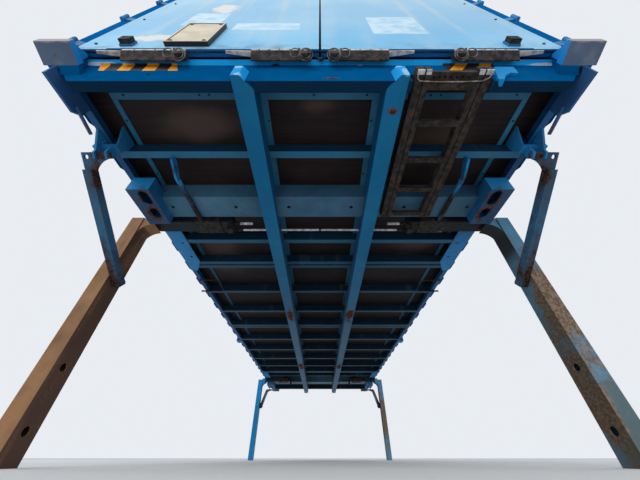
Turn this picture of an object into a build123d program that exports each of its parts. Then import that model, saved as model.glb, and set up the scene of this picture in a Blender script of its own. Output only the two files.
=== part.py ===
from build123d import *
import os
from math import cos, sin, radians, degrees, asin, hypot, pi

# Swap body on four fold-down legs, standing parked. Sizes are in millimetres.
# X runs across, Y runs from the doors at the rear to the front wall, Z is up, and the ground is Z = 0.
# Places along the body are distances from its middle: what stands at the rear has them negated.

# Overall sizes
BODY_LENGTH = 7450.0        # over the rear corner blocks and the front wall
BODY_WIDTH = 2550.0         # over the corner posts and the wall crests
BODY_HEIGHT = 2750.0        # from the fittings' underside to the roof
PARKING_HEIGHT = 1320.0     # from the ground to the fittings' underside
OVERHANG = 798.5            # from the body's end to the middle of a fitting
FITTING_INSET = 145.5       # from the body's side to the middle of a fitting
GAP_FLUSH = 0.3             # clearance of pieces that only rest by each other
BAR_SIDES = 8               # sides of a thin bar
HOLE_SIDES = 12             # sides of a drilled hole
WIRE_SIDES = 6              # sides of a bent wire

# Floor frame
GUIDE_HEIGHT = 120.0
GUIDE_WIDTH = 94.0
GUIDE_TUNNEL = 606.0        # clear width between the two guide rails
GUIDE_WALL = 6.0
GUIDE_CHAMFER = (56.0, 60.0)    # across, along
GUIDE_NOSE_OUT = 24.0       # beyond the sill's face
BEAM_HEIGHT = 80.0
BEAM_FLANGE = 45.0
BEAM_WALL = 5.0
BEAM_GRID = 4               # cross-members each side of the middle one
BEAM_PAIRS = (-4, -1, 4)    # places of the grid where two stand back to back
PAIR_HALF = 8.0
BEAM_BESIDE_LEG = 232.0     # from the leg's middle to the cross-member in front of it
BEAM_TO_GRID = 370.0        # from there to the first of the grid
BEAM_BEHIND_FITTING = 263.5
BEARER_INNER = (21.0, 38.0)     # inwards from the guide rail's inner face, width
BEARER_OUTER = (159.0, 28.0)    # inwards from the rail's outside, width
BEARER_THICKNESS = 8.0
BEARER_FROM_SILL = 119.0
BEARER_REAR_WIDTH = 35.0
FLOOR_THICKNESS = 28.0
FLOOR_BOARD = 1240.0
RAIL_HEIGHT = 160.0
RAIL_FLANGE = 38.0
RAIL_WALL = 5.0

# Corner fittings: a hollow box with two openings in its underside
FITTING_WALL = 12.0
FITTING_REACH = (73.5, 238.5)   # from its middle, to the body's end and to the body's middle
FITTING_SIDES = (90.5, 54.5)    # from its middle, outwards and inwards
SLOTS = ((0.0, 118.0, 63.0), (136.0, 96.0, 58.0))   # place, length, width

# Wide beams between the fittings
WIDE_FROM_FITTING = 46.5
WIDE_DEPTH = 190.0
WIDE_DROP = 50.0            # below the cross-members
WIDE_WALL = 6.0
WIDE_HOLE_RADIUS = 13.0
WIDE_HOLES = (83.0, 196.0, 37.0)    # inside the guide rail, outside it, inside the fitting

# Rear and front frames
BLOCK_DEPTH = 85.0
BLOCK_WIDTH = 132.0
BLOCK_NOSE = 37.0
BLOCK_LIFT = 131.0          # from the fittings' underside to the block's rear lower edge
BLOCK_FALL = 30.0
BLOCK_LEDGE = 12.0
BLOCK_TOP_GAP = 9.0         # block's top below the door
FRONT_BLOCK_X = (25.0, 181.0)   # from the side rail's outside
FRONT_BLOCK_HEIGHT = 66.0
POST_WIDTH = 120.0
POST_DEPTH = 80.0
POST_WALL = 6.0
POST_BAR = 63.0             # width of the bar behind the post, flush with the doors
SILL_WALL = 6.0
SILL_SETBACK = 116.0        # from the rear end to the sill's face
SILL_HEIGHT = 211.0
SILL_FLANGE = 45.0
SILL_NOSE_OUT = 19.0
TREAD_RISE = 4.0
SILL_HOLE = (449.0, 82.0, 8.0)     # inwards from the rail's outside, above the sill's foot, radius
SILL_CUT = (82.0, 104.0)    # corner cut off each end of the sill: across, high
HEADER_HEIGHT = 90.0
FRONT_BEAM = 60.0
FRONT_DROP = 18.0           # front sill's underside below the cross-members
GUSSET_LIFT = 13.0
GUSSET_LENGTH = 210.0
GUSSET_CUT = (37.0, 40.0)
GUSSET_IN = 37.0            # plate's inner face inwards from the rail's outside
GUSSET_PLATE = 12.0
GUSSET_BAR_RADIUS = 9.0
GUSSET_BAR = (160.0, 291.0, 25.0, -1.0)    # start and end in front of the post, then above the plate's edge

# Walls and roof
WALL_SHEET = 3.0
WALL_DEPTH = 25.0           # from the rail's outside to the wall's crests
WALL_PITCH = 290.0
WALL_SLOPE = 30.0
WALL_LAP = 10.0             # wall's lower edge above the rail's underside
FRONT_DEPTH = 20.0
TOP_RAIL = 60.0
ROOF_DEPTH = 20.0
ROOF_PITCH = 300.0

# Legs
LEG_STAND = 62.0            # from the side rail to the leg
LEG_WIDTH = 88.0
LEG_DEPTH = 122.0
LEG_WALL = 6.0
LEG_FROM_FITTING = 324.5
LEG_TOP_DROP = 32.0         # below the cross-members
LEG_HOLE_RADIUS = 20.0
LEG_HOLES = (125.0, 389.0)
LEG_ARM = 56.0
LEG_CURVE = 95.0
CARRIER_WALL = 5.0
CARRIER_HEIGHT = 68.0
CARRIER_DEPTH = 106.0
CARRIER_LENGTH = 595.0
SLIDE_LENGTH = 290.0
SLEEVE_PLACE = (510.0, 307.0)   # inner and outer end, from the rail's outside
SLEEVE_WALL = 8.0
HANGER_WIDTH = 115.0
HANGER_WALL = 6.0
HANGER_SLOT = (70.0, 30.0)
LOCK_BLOCK = (34.0, 50.0, 46.0)     # across, along, height
LOCK_BOLT_LENGTH = 144.0
LOCK_BOLT_RADIUS = 10.0
CROSS_BAR_FROM_LEG = 37.0
CROSS_BAR_DROP = 66.0
CROSS_BAR_SHORT = 35.0      # bar's end inwards of the carrier's end
CROSS_BAR_RADIUS = 7.0
CROSS_BAR_COLLAR = (5.0, 10.0)  # radius over the bar's, length

# Struts
STRUT_SIDE = 50.0
STRUT_WALL = 5.0
STRUT_RUN = 648.0           # from the leg's middle to the strut's head, along the body
STRUT_FALL = 439.0          # from the head down to the pivot
STRUT_HEAD_DROP = 108.0     # head below the cross-members
STRUT_STAND = 1.6           # between strut and leg at the pivot
STRUT_SPLAY = 12.0          # head further out than the pivot
STRUT_TUBE_START = 92.0
HEAD_REACH = 160.0
HEAD_PLATE = 12.0
HEAD_SQUARE = 34.0          # straight part of the head plate's inner side
HEAD_CURVE = 130.0
HEAD_EYE_RADIUS = 13.0
HEAD_EYE = (24.0, 24.0)     # from the outer side, from the end
PIVOT_RADIUS = 12.0
PIVOT_OUT = 14.0
PIVOT_COLLAR = 7.0

# Brackets that hold the struts' heads
BRACKET_BAR = (44.0, 21.0)  # along, high
BRACKET_BAR_BEHIND = 10.0   # behind the strut's head
BRACKET_BAR_DROP = 60.0
BRACKET_BAR_X = (-104.0, 35.0)  # inner and outer end, from the rail's outside
BRACKET_PLATE = 12.0
BRACKET_HOOK_IN = 80.0      # inner hook's inner face, inwards from the rail's outside
BRACKET_REAR = 80.0         # plate's top behind the strut's head
BRACKET_LIP = 14.0          # plate round the strut's head
BRACKET_HOLES = ((35.0, 52.0), (15.0, 30.0), (12.0, 10.0))    # behind the head, below the cross-members
BRACKET_HOLE_RADIUS = 6.0
BRACKET_GRIP = 34.0

# Operating rods
OPERATING_X = (358.0, 378.0)    # link, and rod's end at the sleeve, from the rail's outside
OPERATING_LINK = (30.0, 154.0)  # link's ends in front of the rear cross-member
OPERATING_RADIUS = 15.0
OPERATING_LINK_SIZE = (14.0, 38.0)  # thick, high

# Doubler plates, leg rests and keepers
DOUBLER_X = (130.0, 0.0)    # inner and outer side, from the rail's outside
DOUBLER_FROM_LEG = 112.0
DOUBLER_LENGTH = 577.0
DOUBLER_TAPER = (70.0, 137.0)
DOUBLER_HOLES = (155.0, 352.0)
DOUBLER_HOLE_RADIUS = 11.0
DOUBLER_THICKNESS = 6.0
REST_X = (205.0, 18.0, -40.0)   # inner end, tail, outer tip, inwards from the rail's outside
REST_FROM_LEG = (868.0, 1090.0)
REST_RADIUS = 6.0
REST_BEND = 40.0
REST_SLEEVE = (3.0, 100.0)  # radius over the wire's, length
KEEPER_X = (36.0, -50.0)    # inner and outer side, inwards from the rail's outside
KEEPER_Y = (60.0, 160.0)
KEEPER_THICKNESS = 8.0
KEEPER_LIP = 60.0

# Ladder under the floor, on the right
LADDER_SHARE = (0.0363, 0.4349)     # of the bay between guide rail and side rail, over both tracks
LADDER_STILE = (26.0, 46.0)
LADDER_FIN = (26.0, 16.0)
LADDER_LIFT = 14.0          # above the fittings' underside
LADDER_OUT = 31.0           # rear end behind the sill's face
LADDER_STEP = (43.0, 31.0, 6.0)     # drilled part, plain part, thickness
LADDER_STEP_HOLES = 8
LADDER_HOLE_RADIUS = 6.0
LADDER_FIRST_RUNG = 201.0   # in front of the sill's face
LADDER_PITCH = 212.0
LADDER_RUNGS = 4
LADDER_RUNG = (30.0, 25.0)
LADDER_POCKET = (12.0, 20.0)    # sill opening beside and above the ladder
LADDER_WIRE_RADIUS = 3.0
TRACK_WALL = 3.0
TRACK_PLAY = 0.3
TRACK_WIDTH = 36.0
TRACK_GAP = 4.0             # between a track's lips and the stile
CAP_THICKNESS = 8.0

# Hook on the sill
HOOK_FROM_TRACK = 19.0      # beside the ladder's outer track
HOOK_PLATE = 12.0
HOOK_OUTLINE = ((0.0, 0.0), (28.0, 0.0), (58.0, 43.0), (89.0, 69.0), (122.0, 63.0), (140.0, 150.0),
                (48.0, 150.0))
HOOK_TONGUE = (31.0, 10.0, 12.0)    # reach, thickness, width at the tip

# Doors
DOOR_THICKNESS = 41.0
DOOR_GAP_MIDDLE = 12.0
DOOR_GAP_POST = 9.0
DOOR_GAP_BAR = 5.5
DOOR_LAP = 22.0             # thickness of the part of a leaf that laps the post
DOOR_GAP_SILL = 12.0
DOOR_GAP_HEADER = 12.0
DOOR_OUT = 28.0             # door's outer face beyond the post's rear face
DOOR_EDGE = (8.0, 30.0)     # depth and width of the step round a leaf's inner face
HINGE_AXIS_IN = 13.0        # hinge axis inwards from the body's side
HINGE_AXIS_OUT = 40.0       # hinge axis beyond the post's rear face
HINGE_PIN_RADIUS = 6.0
HINGE_BARREL_RADIUS = 12.0
HINGE_RUN = 0.05
HINGE_BARREL = 60.0
HINGE_EAR = 12.0
HINGE_EAR_RIM = 5.0
HINGE_PLAY = 0.5
HINGE_BLADE = 12.0
HINGE_COUNT = 5
HINGE_ENDS = (86.0, 58.0)   # lowest above the leaf's foot, highest below its head
LOCK_INNER = (39.0, 295.0, 126.0)   # from the middle of the body: start, housing, lever
LOCK_OUTER = (561.5, 320.0, 125.0)  # from the leaf's hinge side: start, housing, lever
LOCK_HEIGHTS = (19.0, 61.0)         # housing below the leaf, at the rear and at the front
LOCK_CLEAR = 5.5            # from the sill's nose
LOCK_FOOT = 6.0
LOCK_HUB_RADIUS = 32.0
LOCK_LEVER = (24.0, 12.0, 10.0, 6.0)    # root, tip, thickness, below the leaf
PLATE_X = (555.0, 775.0)
PLATE_Z = (42.0, 440.0)     # above the leaf's foot
PLATE_THICKNESS = 22.0
PLATE_RIM = 10.0
PLATE_RECESS = 3.0
BUFFER_FROM_EDGE = 237.0
BUFFER_HEIGHT = 75.0        # above the leaf's foot
BUFFER_SIZE = 54.0
BUFFER_BASE = (62.0, 10.0)
BUFFER_THICKNESS = 21.0

# Places worked out from the sizes above
Y_END = BODY_LENGTH / 2
X_SIDE = BODY_WIDTH / 2
X_RAIL = X_SIDE - WALL_DEPTH
X_RAIL_LIP = X_RAIL - RAIL_FLANGE
X_POST_IN = X_SIDE - POST_WIDTH
X_GUIDE_IN = GUIDE_TUNNEL / 2
X_GUIDE_OUT = X_GUIDE_IN + GUIDE_WIDTH
X_FITTING = X_SIDE - FITTING_INSET
X_FITTING_OUT = X_FITTING + FITTING_SIDES[0]
X_FITTING_IN = X_FITTING - FITTING_SIDES[1]
X_GUSSET = X_RAIL - GUSSET_IN
X_LEG_IN = X_RAIL + LEG_STAND
X_LEG_OUT = X_LEG_IN + LEG_WIDTH
X_CARRIER = X_RAIL - CARRIER_LENGTH
X_BAY = X_RAIL - X_GUIDE_OUT
LADDER_MIDDLE = X_GUIDE_OUT + X_BAY * sum(LADDER_SHARE) / 2
LADDER_HALF = X_BAY * (LADDER_SHARE[1] - LADDER_SHARE[0]) / 2 - TRACK_GAP - TRACK_WIDTH
X_HOOK = X_GUIDE_OUT + X_BAY * LADDER_SHARE[1] + HOOK_FROM_TRACK
X_DOOR_IN = DOOR_GAP_MIDDLE / 2
X_DOOR_PANEL = X_POST_IN - DOOR_GAP_POST
X_BAR_IN = X_SIDE - POST_BAR
X_DOOR_OUT = X_BAR_IN - DOOR_GAP_BAR
X_HINGE = X_SIDE - HINGE_AXIS_IN
Z_BASE = PARKING_HEIGHT
Z_BEAM = Z_BASE + GUIDE_HEIGHT
Z_WIDE = Z_BEAM - WIDE_DROP
Z_FLOOR = Z_BEAM + BEAM_HEIGHT
Z_DECK = Z_FLOOR + FLOOR_THICKNESS
Z_TREAD = Z_DECK + TREAD_RISE
Z_SILL_TOP = Z_BASE + SILL_HEIGHT
Z_TOP = Z_BASE + BODY_HEIGHT
Z_ROOF = Z_TOP - ROOF_DEPTH
Z_HEADER = Z_TOP - HEADER_HEIGHT
Z_DOOR = Z_TREAD + DOOR_GAP_SILL
Z_DOOR_TOP = Z_HEADER - DOOR_GAP_HEADER
Z_BLOCK_TOP = Z_DOOR - BLOCK_TOP_GAP
Z_CARRIER = Z_BEAM - CARRIER_HEIGHT
Z_LEG = Z_BEAM - LEG_TOP_DROP
Z_HEAD = Z_BEAM - STRUT_HEAD_DROP
Z_LADDER = Z_BASE + LADDER_LIFT
Y_SILL = Y_END - SILL_SETBACK
Y_NOSE = Y_SILL + SILL_NOSE_OUT
Y_POST_REAR = Y_END - BLOCK_DEPTH
Y_POST_FRONT = Y_POST_REAR - POST_DEPTH
Y_FRONT = Y_END - FRONT_DEPTH
Y_FRONT_POST = Y_END - POST_DEPTH
Y_FITTING = Y_END - OVERHANG
Y_LEG = Y_FITTING - LEG_FROM_FITTING
Y_WIDE_REAR = Y_FITTING - WIDE_FROM_FITTING
Y_WIDE_FRONT = Y_WIDE_REAR - WIDE_DEPTH
Y_HEAD = Y_LEG + STRUT_RUN
Y_BEAM_REAR = Y_FITTING + BEAM_BEHIND_FITTING
Y_BEAM_LEG = Y_LEG - BEAM_BESIDE_LEG
Y_DOOR_OUT = Y_POST_REAR + DOOR_OUT
Y_DOOR_IN = Y_DOOR_OUT - DOOR_THICKNESS
Y_HINGE = Y_POST_REAR + HINGE_AXIS_OUT


# Forms

def box(x0, x1, y0, y1, z0, z1):
    """A block between two corners."""
    solid = Box(abs(x1 - x0), abs(y1 - y0), abs(z1 - z0))
    return Pos((x0 + x1) / 2, (y0 + y1) / 2, (z0 + z1) / 2) * solid


def hollow_box(x0, x1, y0, y1, z0, z1, wall):
    """A closed box with walls of one thickness."""
    core = box(x0 + wall, x1 - wall, y0 + wall, y1 - wall, z0 + wall, z1 - wall)
    return box(x0, x1, y0, y1, z0, z1) - core


def across(points, x0, x1):
    """An outline of (y, z) points carried from x0 to x1."""
    face = Face(Wire.make_polygon([Vector(x0, y, z) for y, z in points], close=True))
    return Solid.extrude(face, Vector(x1 - x0, 0, 0))


def along(points, y0, y1):
    """An outline of (x, z) points carried from y0 to y1."""
    face = Face(Wire.make_polygon([Vector(x, y0, z) for x, z in points], close=True))
    return Solid.extrude(face, Vector(0, y1 - y0, 0))


def upright(points, z0, z1):
    """An outline of (x, y) points carried from z0 to z1."""
    face = Face(Wire.make_polygon([Vector(x, y, z0) for x, y in points], close=True))
    return Solid.extrude(face, Vector(0, 0, z1 - z0))


def rod(start, end, radius, sides=BAR_SIDES):
    """A bar between two points, with a few flat sides."""
    begin = Vector(*start)
    path = Vector(*end) - begin
    plane = Plane(origin=begin, z_dir=path)
    turns = [2 * pi * i / sides for i in range(sides)]
    corners = [plane.from_local_coords((radius * cos(turn), radius * sin(turn), 0)) for turn in turns]
    return Solid.extrude(Face(Wire.make_polygon(corners, close=True)), path)


def turned(start, end, radius):
    """A true cylinder between two points, for what turns or has to be round."""
    begin = Vector(*start)
    path = Vector(*end) - begin
    return Solid.make_cylinder(radius, path.length, Plane(origin=begin, z_dir=path))


def through(x, y, z, axis, radius, depth):
    """A drill centred on a point, reaching depth to each side of it."""
    reach = Vector(*axis) * depth
    middle = Vector(x, y, z)
    return rod(tuple(middle - reach), tuple(middle + reach), radius, HOLE_SIDES)


def flip_x(shape):
    """The same shape on the other side of the body."""
    return shape.mirror(Plane.YZ)


def flip_y(shape):
    """The same shape at the other end of the body."""
    return shape.mirror(Plane.XZ)


def same(shape):
    """The shape as it is."""
    return shape


def both_sides(shapes):
    return list(shapes) + [flip_x(shape) for shape in shapes]


def save(name, shapes):
    """Write one node, whose solids don't touch each other."""
    solids = []
    for shape in shapes:
        solids.extend(shape.solids())
    export_step(Compound(children=solids, label=name), f"parts/{name}.step")


# Floor frame

def floor_boards():
    """Plywood boards laid across the cross-members, butted one to the next."""
    rear = -Y_POST_FRONT
    length = Y_FRONT_POST - rear
    count = round(length / FLOOR_BOARD)
    width = length / count
    half = X_RAIL - RAIL_WALL
    return [box(-half, half, rear + i * width, rear + (i + 1) * width, Z_FLOOR, Z_DECK) for i in range(count)]


def beam_places():
    """Rear faces of the webs of all cross-members, from the rear to the front."""
    pitch = (Y_BEAM_LEG - BEAM_TO_GRID) / BEAM_GRID
    places = [-Y_BEAM_REAR, -Y_BEAM_LEG]
    for k in range(-BEAM_GRID, BEAM_GRID + 1):
        if k in BEAM_PAIRS:
            places.extend([k * pitch - PAIR_HALF - BEAM_FLANGE, k * pitch + PAIR_HALF])
        else:
            places.append(k * pitch)
    places.extend([Y_BEAM_LEG - BEAM_FLANGE, Y_BEAM_REAR - BEAM_FLANGE])
    return places


def cross_member(y):
    """A channel with its web towards the rear and its flanges towards the front."""
    web = y + BEAM_WALL
    lip = y + BEAM_FLANGE
    outline = [(y, Z_BEAM), (lip, Z_BEAM), (lip, Z_BEAM + BEAM_WALL), (web, Z_BEAM + BEAM_WALL),
               (web, Z_FLOOR - BEAM_WALL), (lip, Z_FLOOR - BEAM_WALL), (lip, Z_FLOOR), (y, Z_FLOOR)]
    return across(outline, -X_RAIL_LIP, X_RAIL_LIP)


def bearers():
    """Flat bars under the boards: one across behind the sill, and four in each bay of the frame."""
    z0 = Z_FLOOR - BEARER_THICKNESS
    rear = -Y_SILL + BEARER_FROM_SILL
    inner = X_GUIDE_IN - BEARER_INNER[0]
    outer = X_RAIL - BEARER_OUTER[0]
    reach = outer + BEARER_OUTER[1]
    taken = [(y, y + BEAM_FLANGE) for y in beam_places()]
    taken.extend([(-Y_WIDE_REAR, -Y_WIDE_FRONT), (Y_WIDE_FRONT, Y_WIDE_REAR)])
    taken.extend([(rear, rear + BEARER_REAR_WIDTH), (Y_FRONT_POST, Y_END)])
    taken.sort()
    bars = [box(-reach, reach, rear, rear + BEARER_REAR_WIDTH, z0, Z_FLOOR)]
    for (_, start), (end, _) in zip(taken, taken[1:]):
        if end - start > BEAM_FLANGE:
            for x, width in ((inner, BEARER_INNER[1]), (outer, BEARER_OUTER[1])):
                bars.extend(both_sides([box(x, x + width, start, end, z0, Z_FLOOR)]))
    return bars


def guide_rail():
    """The right guide rail: a closed box rail, cut back at both ends on its inner side."""
    end = Y_SILL + GUIDE_NOSE_OUT
    dx, dy = GUIDE_CHAMFER

    def outline(inset):
        slant = 1 + inset * hypot(1 / dx, 1 / dy)
        x0 = X_GUIDE_IN + inset
        x1 = X_GUIDE_OUT - inset
        x_cut = X_GUIDE_IN + dx * (slant - inset / dy)
        y_cut = end - dy * (slant - inset / dx)
        half = [(x1, end - inset), (x_cut, end - inset), (x0, y_cut)]
        return half + [(x, -y) for x, y in reversed(half)]

    shell = upright(outline(0.0), Z_BASE, Z_BEAM)
    shell -= upright(outline(GUIDE_WALL), Z_BASE + GUIDE_WALL, Z_BEAM - GUIDE_WALL)
    for y in (-cross_bar_y(), cross_bar_y()):
        z = cross_bar_z()
        shell -= rod((0, y, z), (X_GUIDE_OUT + GUIDE_WALL, y, z), CROSS_BAR_RADIUS + GAP_FLUSH, HOLE_SIDES)
    return shell


def side_rail():
    """The right side rail: a channel open towards the middle, between the corner posts."""
    t = RAIL_WALL
    x0, x1 = X_RAIL_LIP, X_RAIL
    z0, z1 = Z_BEAM, Z_BEAM + RAIL_HEIGHT
    outline = [(x0, z0), (x1, z0), (x1, z1), (x0, z1), (x0, z1 - t), (x1 - t, z1 - t), (x1 - t, z0 + t),
               (x0, z0 + t)]
    return along(outline, -Y_POST_FRONT, Y_FRONT_POST)


def wide_beam():
    """The rear box beam that joins the fittings, notched over the guide rails and the fittings."""
    def outline(inset):
        low = Z_WIDE + inset
        shelf = Z_BEAM + inset
        right = [(X_GUIDE_IN - inset, low), (X_GUIDE_IN - inset, shelf), (X_GUIDE_OUT + inset, shelf),
                 (X_GUIDE_OUT + inset, low), (X_FITTING_IN - inset, low), (X_FITTING_IN - inset, shelf),
                 (X_RAIL_LIP - inset, shelf), (X_RAIL_LIP - inset, Z_FLOOR - inset)]
        return right + [(-x, z) for x, z in reversed(right)]

    beam = along(outline(0.0), -Y_WIDE_REAR, -Y_WIDE_FRONT)
    beam -= along(outline(WIDE_WALL), -Y_WIDE_REAR + WIDE_WALL, -Y_WIDE_FRONT - WIDE_WALL)
    middle = -(Y_WIDE_REAR + Y_WIDE_FRONT) / 2
    inside, outside, last = WIDE_HOLES
    for x in (X_GUIDE_IN - inside, X_GUIDE_OUT + outside, X_FITTING_IN - last):
        for side in (-1, 1):
            beam -= through(side * x, middle, Z_WIDE, (0, 0, 1), WIDE_HOLE_RADIUS, 2 * WIDE_WALL)
    return beam


def corner_fitting():
    """The right rear fitting: a hollow box with two long openings in its underside."""
    rear, front = FITTING_REACH
    t = FITTING_WALL
    body = hollow_box(X_FITTING_IN, X_FITTING_OUT, -Y_FITTING - rear, -Y_FITTING + front, Z_BASE, Z_BEAM, t)
    for place, length, width in SLOTS:
        y = -Y_FITTING + place
        reach = (length - width) / 2
        half = width / 2
        body -= box(X_FITTING - half, X_FITTING + half, y - reach, y + reach, Z_BASE - t, Z_BASE + 2 * t)
        for end in (y - reach, y + reach):
            body -= turned((X_FITTING, end, Z_BASE - t), (X_FITTING, end, Z_BASE + 2 * t), half)
    return body


# Rear and front frames

def rear_sill():
    """The folded rear sill: a face with a lower flange, a sloping nose, and a tread back to the floor."""
    t = SILL_WALL
    face = -Y_SILL
    nose = -Y_NOSE
    flange = face + SILL_FLANGE
    floor_edge = -Y_POST_FRONT
    fold = Z_SILL_TOP
    top = [(face + t, fold - t / 2), (nose + 1.5 * t, Z_TREAD - t), (floor_edge, Z_TREAD - t),
           (floor_edge, Z_TREAD), (nose, Z_TREAD), (nose, Z_TREAD - t / 2), (face, fold)]
    foot = [(face, Z_BASE), (flange, Z_BASE), (flange, Z_BASE + t), (face + t, Z_BASE + t)]
    sill = across(foot + top, -X_POST_IN, X_POST_IN)
    low = foot + [(face + t, Z_BEAM), (face, Z_BEAM)]
    sill += across(low, -X_GUSSET, -X_POST_IN)
    sill += across(low, X_POST_IN, X_GUSSET)
    for side in (-1, 1):
        sill -= box(side * X_GUIDE_IN, side * X_GUIDE_OUT, face - t, flange + t, Z_BASE - t, Z_BEAM)
    hole_in, hole_up, radius = SILL_HOLE
    sill -= through(hole_in - X_RAIL, face, Z_BASE + hole_up, (0, 1, 0), radius, 2 * t)
    across_cut, high_cut = SILL_CUT
    corner = along([(X_GUSSET - across_cut, Z_BASE), (X_GUSSET, Z_BASE), (X_GUSSET, Z_BASE + high_cut)], face,
                   flange)
    sill -= corner
    sill -= flip_x(corner)
    beside, above = LADDER_POCKET
    half = LADDER_HALF + TRACK_GAP + TRACK_WIDTH + beside
    sill -= box(LADDER_MIDDLE - half, LADDER_MIDDLE + half, face - t, flange + t, Z_BASE - t,
                Z_LADDER + LADDER_STILE[1] + above)
    return sill


def rear_post():
    """The right rear post, with the bar behind it that is broken at each hinge."""
    post = hollow_box(X_POST_IN, X_SIDE, -Y_POST_REAR, -Y_POST_FRONT, Z_BEAM, Z_TOP, POST_WALL)
    notch = HINGE_BARREL / 2 + HINGE_PLAY + HINGE_EAR + GAP_FLUSH
    low = Z_BLOCK_TOP
    for high in [z - notch for z in hinge_heights()] + [Z_TOP]:
        post += box(X_BAR_IN, X_SIDE, -Y_DOOR_OUT, -Y_POST_REAR, low, high)
        low = high + 2 * notch
    return post


def corner_block():
    """The right rear block: a cast buffer whose underside slopes down towards the front."""
    rear = -Y_END
    front = -Y_POST_REAR
    low = Z_BASE + BLOCK_LIFT
    outline = [(rear, low), (front, low - BLOCK_FALL), (front, Z_BLOCK_TOP),
               (front - BLOCK_LEDGE, Z_BLOCK_TOP), (rear, low + BLOCK_NOSE)]
    return across(outline, X_SIDE - BLOCK_WIDTH, X_SIDE)


def front_block():
    """The right foot under the front post and the end of the front beam."""
    x1, x0 = (X_RAIL - d for d in FRONT_BLOCK_X)
    low, step = Z_BEAM - FRONT_BLOCK_HEIGHT, Z_BEAM - FRONT_DROP
    outline = [(x0, low), (x1, low), (x1, Z_BEAM), (X_POST_IN, Z_BEAM), (X_POST_IN, step), (x0, step)]
    return along(outline, Y_FRONT_POST, Y_END)


def corner_gusset():
    """The right plate under the rear corner, with the sloping round bar that sticks out of it."""
    z0 = Z_BASE + GUSSET_LIFT
    rear = -Y_POST_REAR
    front = rear + GUSSET_LENGTH
    cut_y, cut_z = GUSSET_CUT
    outline = [(rear, z0), (front - cut_y, z0), (front, z0 + cut_z), (front, Z_BEAM), (rear, Z_BEAM)]
    plate = across(outline, X_GUSSET, X_GUSSET + GUSSET_PLATE)
    start, end, start_up, end_up = GUSSET_BAR
    x = X_GUSSET - GUSSET_BAR_RADIUS / 2
    base = z0 + GUSSET_BAR_RADIUS
    return plate + rod((x, rear + start, base + start_up), (x, rear + end, base + end_up), GUSSET_BAR_RADIUS)


# Walls and roof

def corrugation(length, pitch, depth):
    """Places (along, out) of a sheet's inner line, which starts and ends in a valley."""
    count = max(1, round(length / pitch))
    step = length / count
    flat = (step - 2 * WALL_SLOPE) / 2
    points = [(0.0, 0.0)]
    for i in range(count):
        start = i * step + flat / 2
        points.extend([(start, 0.0), (start + WALL_SLOPE, depth), (start + WALL_SLOPE + flat, depth),
                       (start + 2 * WALL_SLOPE + flat, 0.0)])
    points.append((length, 0.0))
    return points


def sheet(length, pitch, depth):
    """The closed outline of a corrugated sheet, depth deep over all."""
    line = corrugation(length, pitch, depth - WALL_SHEET)
    return line + [(s, out + WALL_SHEET) for s, out in reversed(line)]


def side_wall():
    """The right wall: upright corrugations, lapped over the side rail and the top rail."""
    rear = -Y_POST_FRONT
    line = sheet(Y_FRONT_POST - rear, WALL_PITCH, WALL_DEPTH)
    return upright([(X_RAIL + out, rear + s) for s, out in line], Z_BEAM + WALL_LAP, Z_ROOF)


def front_wall():
    """Upright corrugations between the front posts, outside the front beam and header."""
    line = sheet(2 * X_POST_IN, WALL_PITCH, FRONT_DEPTH)
    return upright([(-X_POST_IN + s, Y_FRONT + out) for s, out in line], Z_BEAM + WALL_LAP, Z_ROOF)


def roof():
    """Corrugations across the body, over the top rails."""
    rear = -Y_POST_FRONT
    line = sheet(Y_FRONT_POST - rear, ROOF_PITCH, ROOF_DEPTH)
    return across([(rear + s, Z_ROOF + out) for s, out in line], -X_RAIL, X_RAIL)


# Legs and what holds them

def leg():
    """The right rear leg: an upright tube, an arm with a curved web, and the slide inside the carrier."""
    y = -Y_LEG
    deep = LEG_DEPTH / 2
    half = CARRIER_DEPTH / 2
    tube = hollow_box(X_LEG_IN, X_LEG_OUT, y - deep, y + deep, 0.0, Z_LEG, LEG_WALL)
    for z in LEG_HOLES:
        tube -= through(X_LEG_IN, y, z, (1, 0, 0), LEG_HOLE_RADIUS, 2 * LEG_WALL)
    z_arm = Z_LEG - LEG_ARM
    tube += box(X_RAIL, X_LEG_IN, y - half, y + half, z_arm, Z_LEG)
    corner = Vector(X_LEG_IN, y - half, z_arm)
    centre = corner - Vector(LEG_CURVE, 0, LEG_CURVE)
    inner = centre + Vector(0, 0, LEG_CURVE)
    lower = centre + Vector(LEG_CURVE, 0, 0)
    middle = centre + Vector(cos(radians(45)), 0, sin(radians(45))) * LEG_CURVE
    edges = [Edge.make_line(corner, inner), Edge.make_three_point_arc(inner, middle, lower),
             Edge.make_line(lower, corner)]
    tube += Solid.extrude(Face(Wire(edges)), Vector(0, CARRIER_DEPTH, 0))
    play = CARRIER_WALL + GAP_FLUSH
    return tube + box(X_RAIL - SLIDE_LENGTH, X_LEG_IN, y - half + play, y + half - play, Z_CARRIER + play,
                      Z_BEAM - play)


def leg_carrier():
    """The right rear carrier: a tube under the side rail, open at its outer end for the leg's slide."""
    half = CARRIER_DEPTH / 2
    t = CARRIER_WALL
    rear, front = -Y_LEG - half, -Y_LEG + half
    tube = box(X_CARRIER, X_RAIL, rear, front, Z_CARRIER, Z_BEAM)
    return tube - box(X_CARRIER + t, X_RAIL + t, rear + t, front - t, Z_CARRIER + t, Z_BEAM - t)


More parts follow.
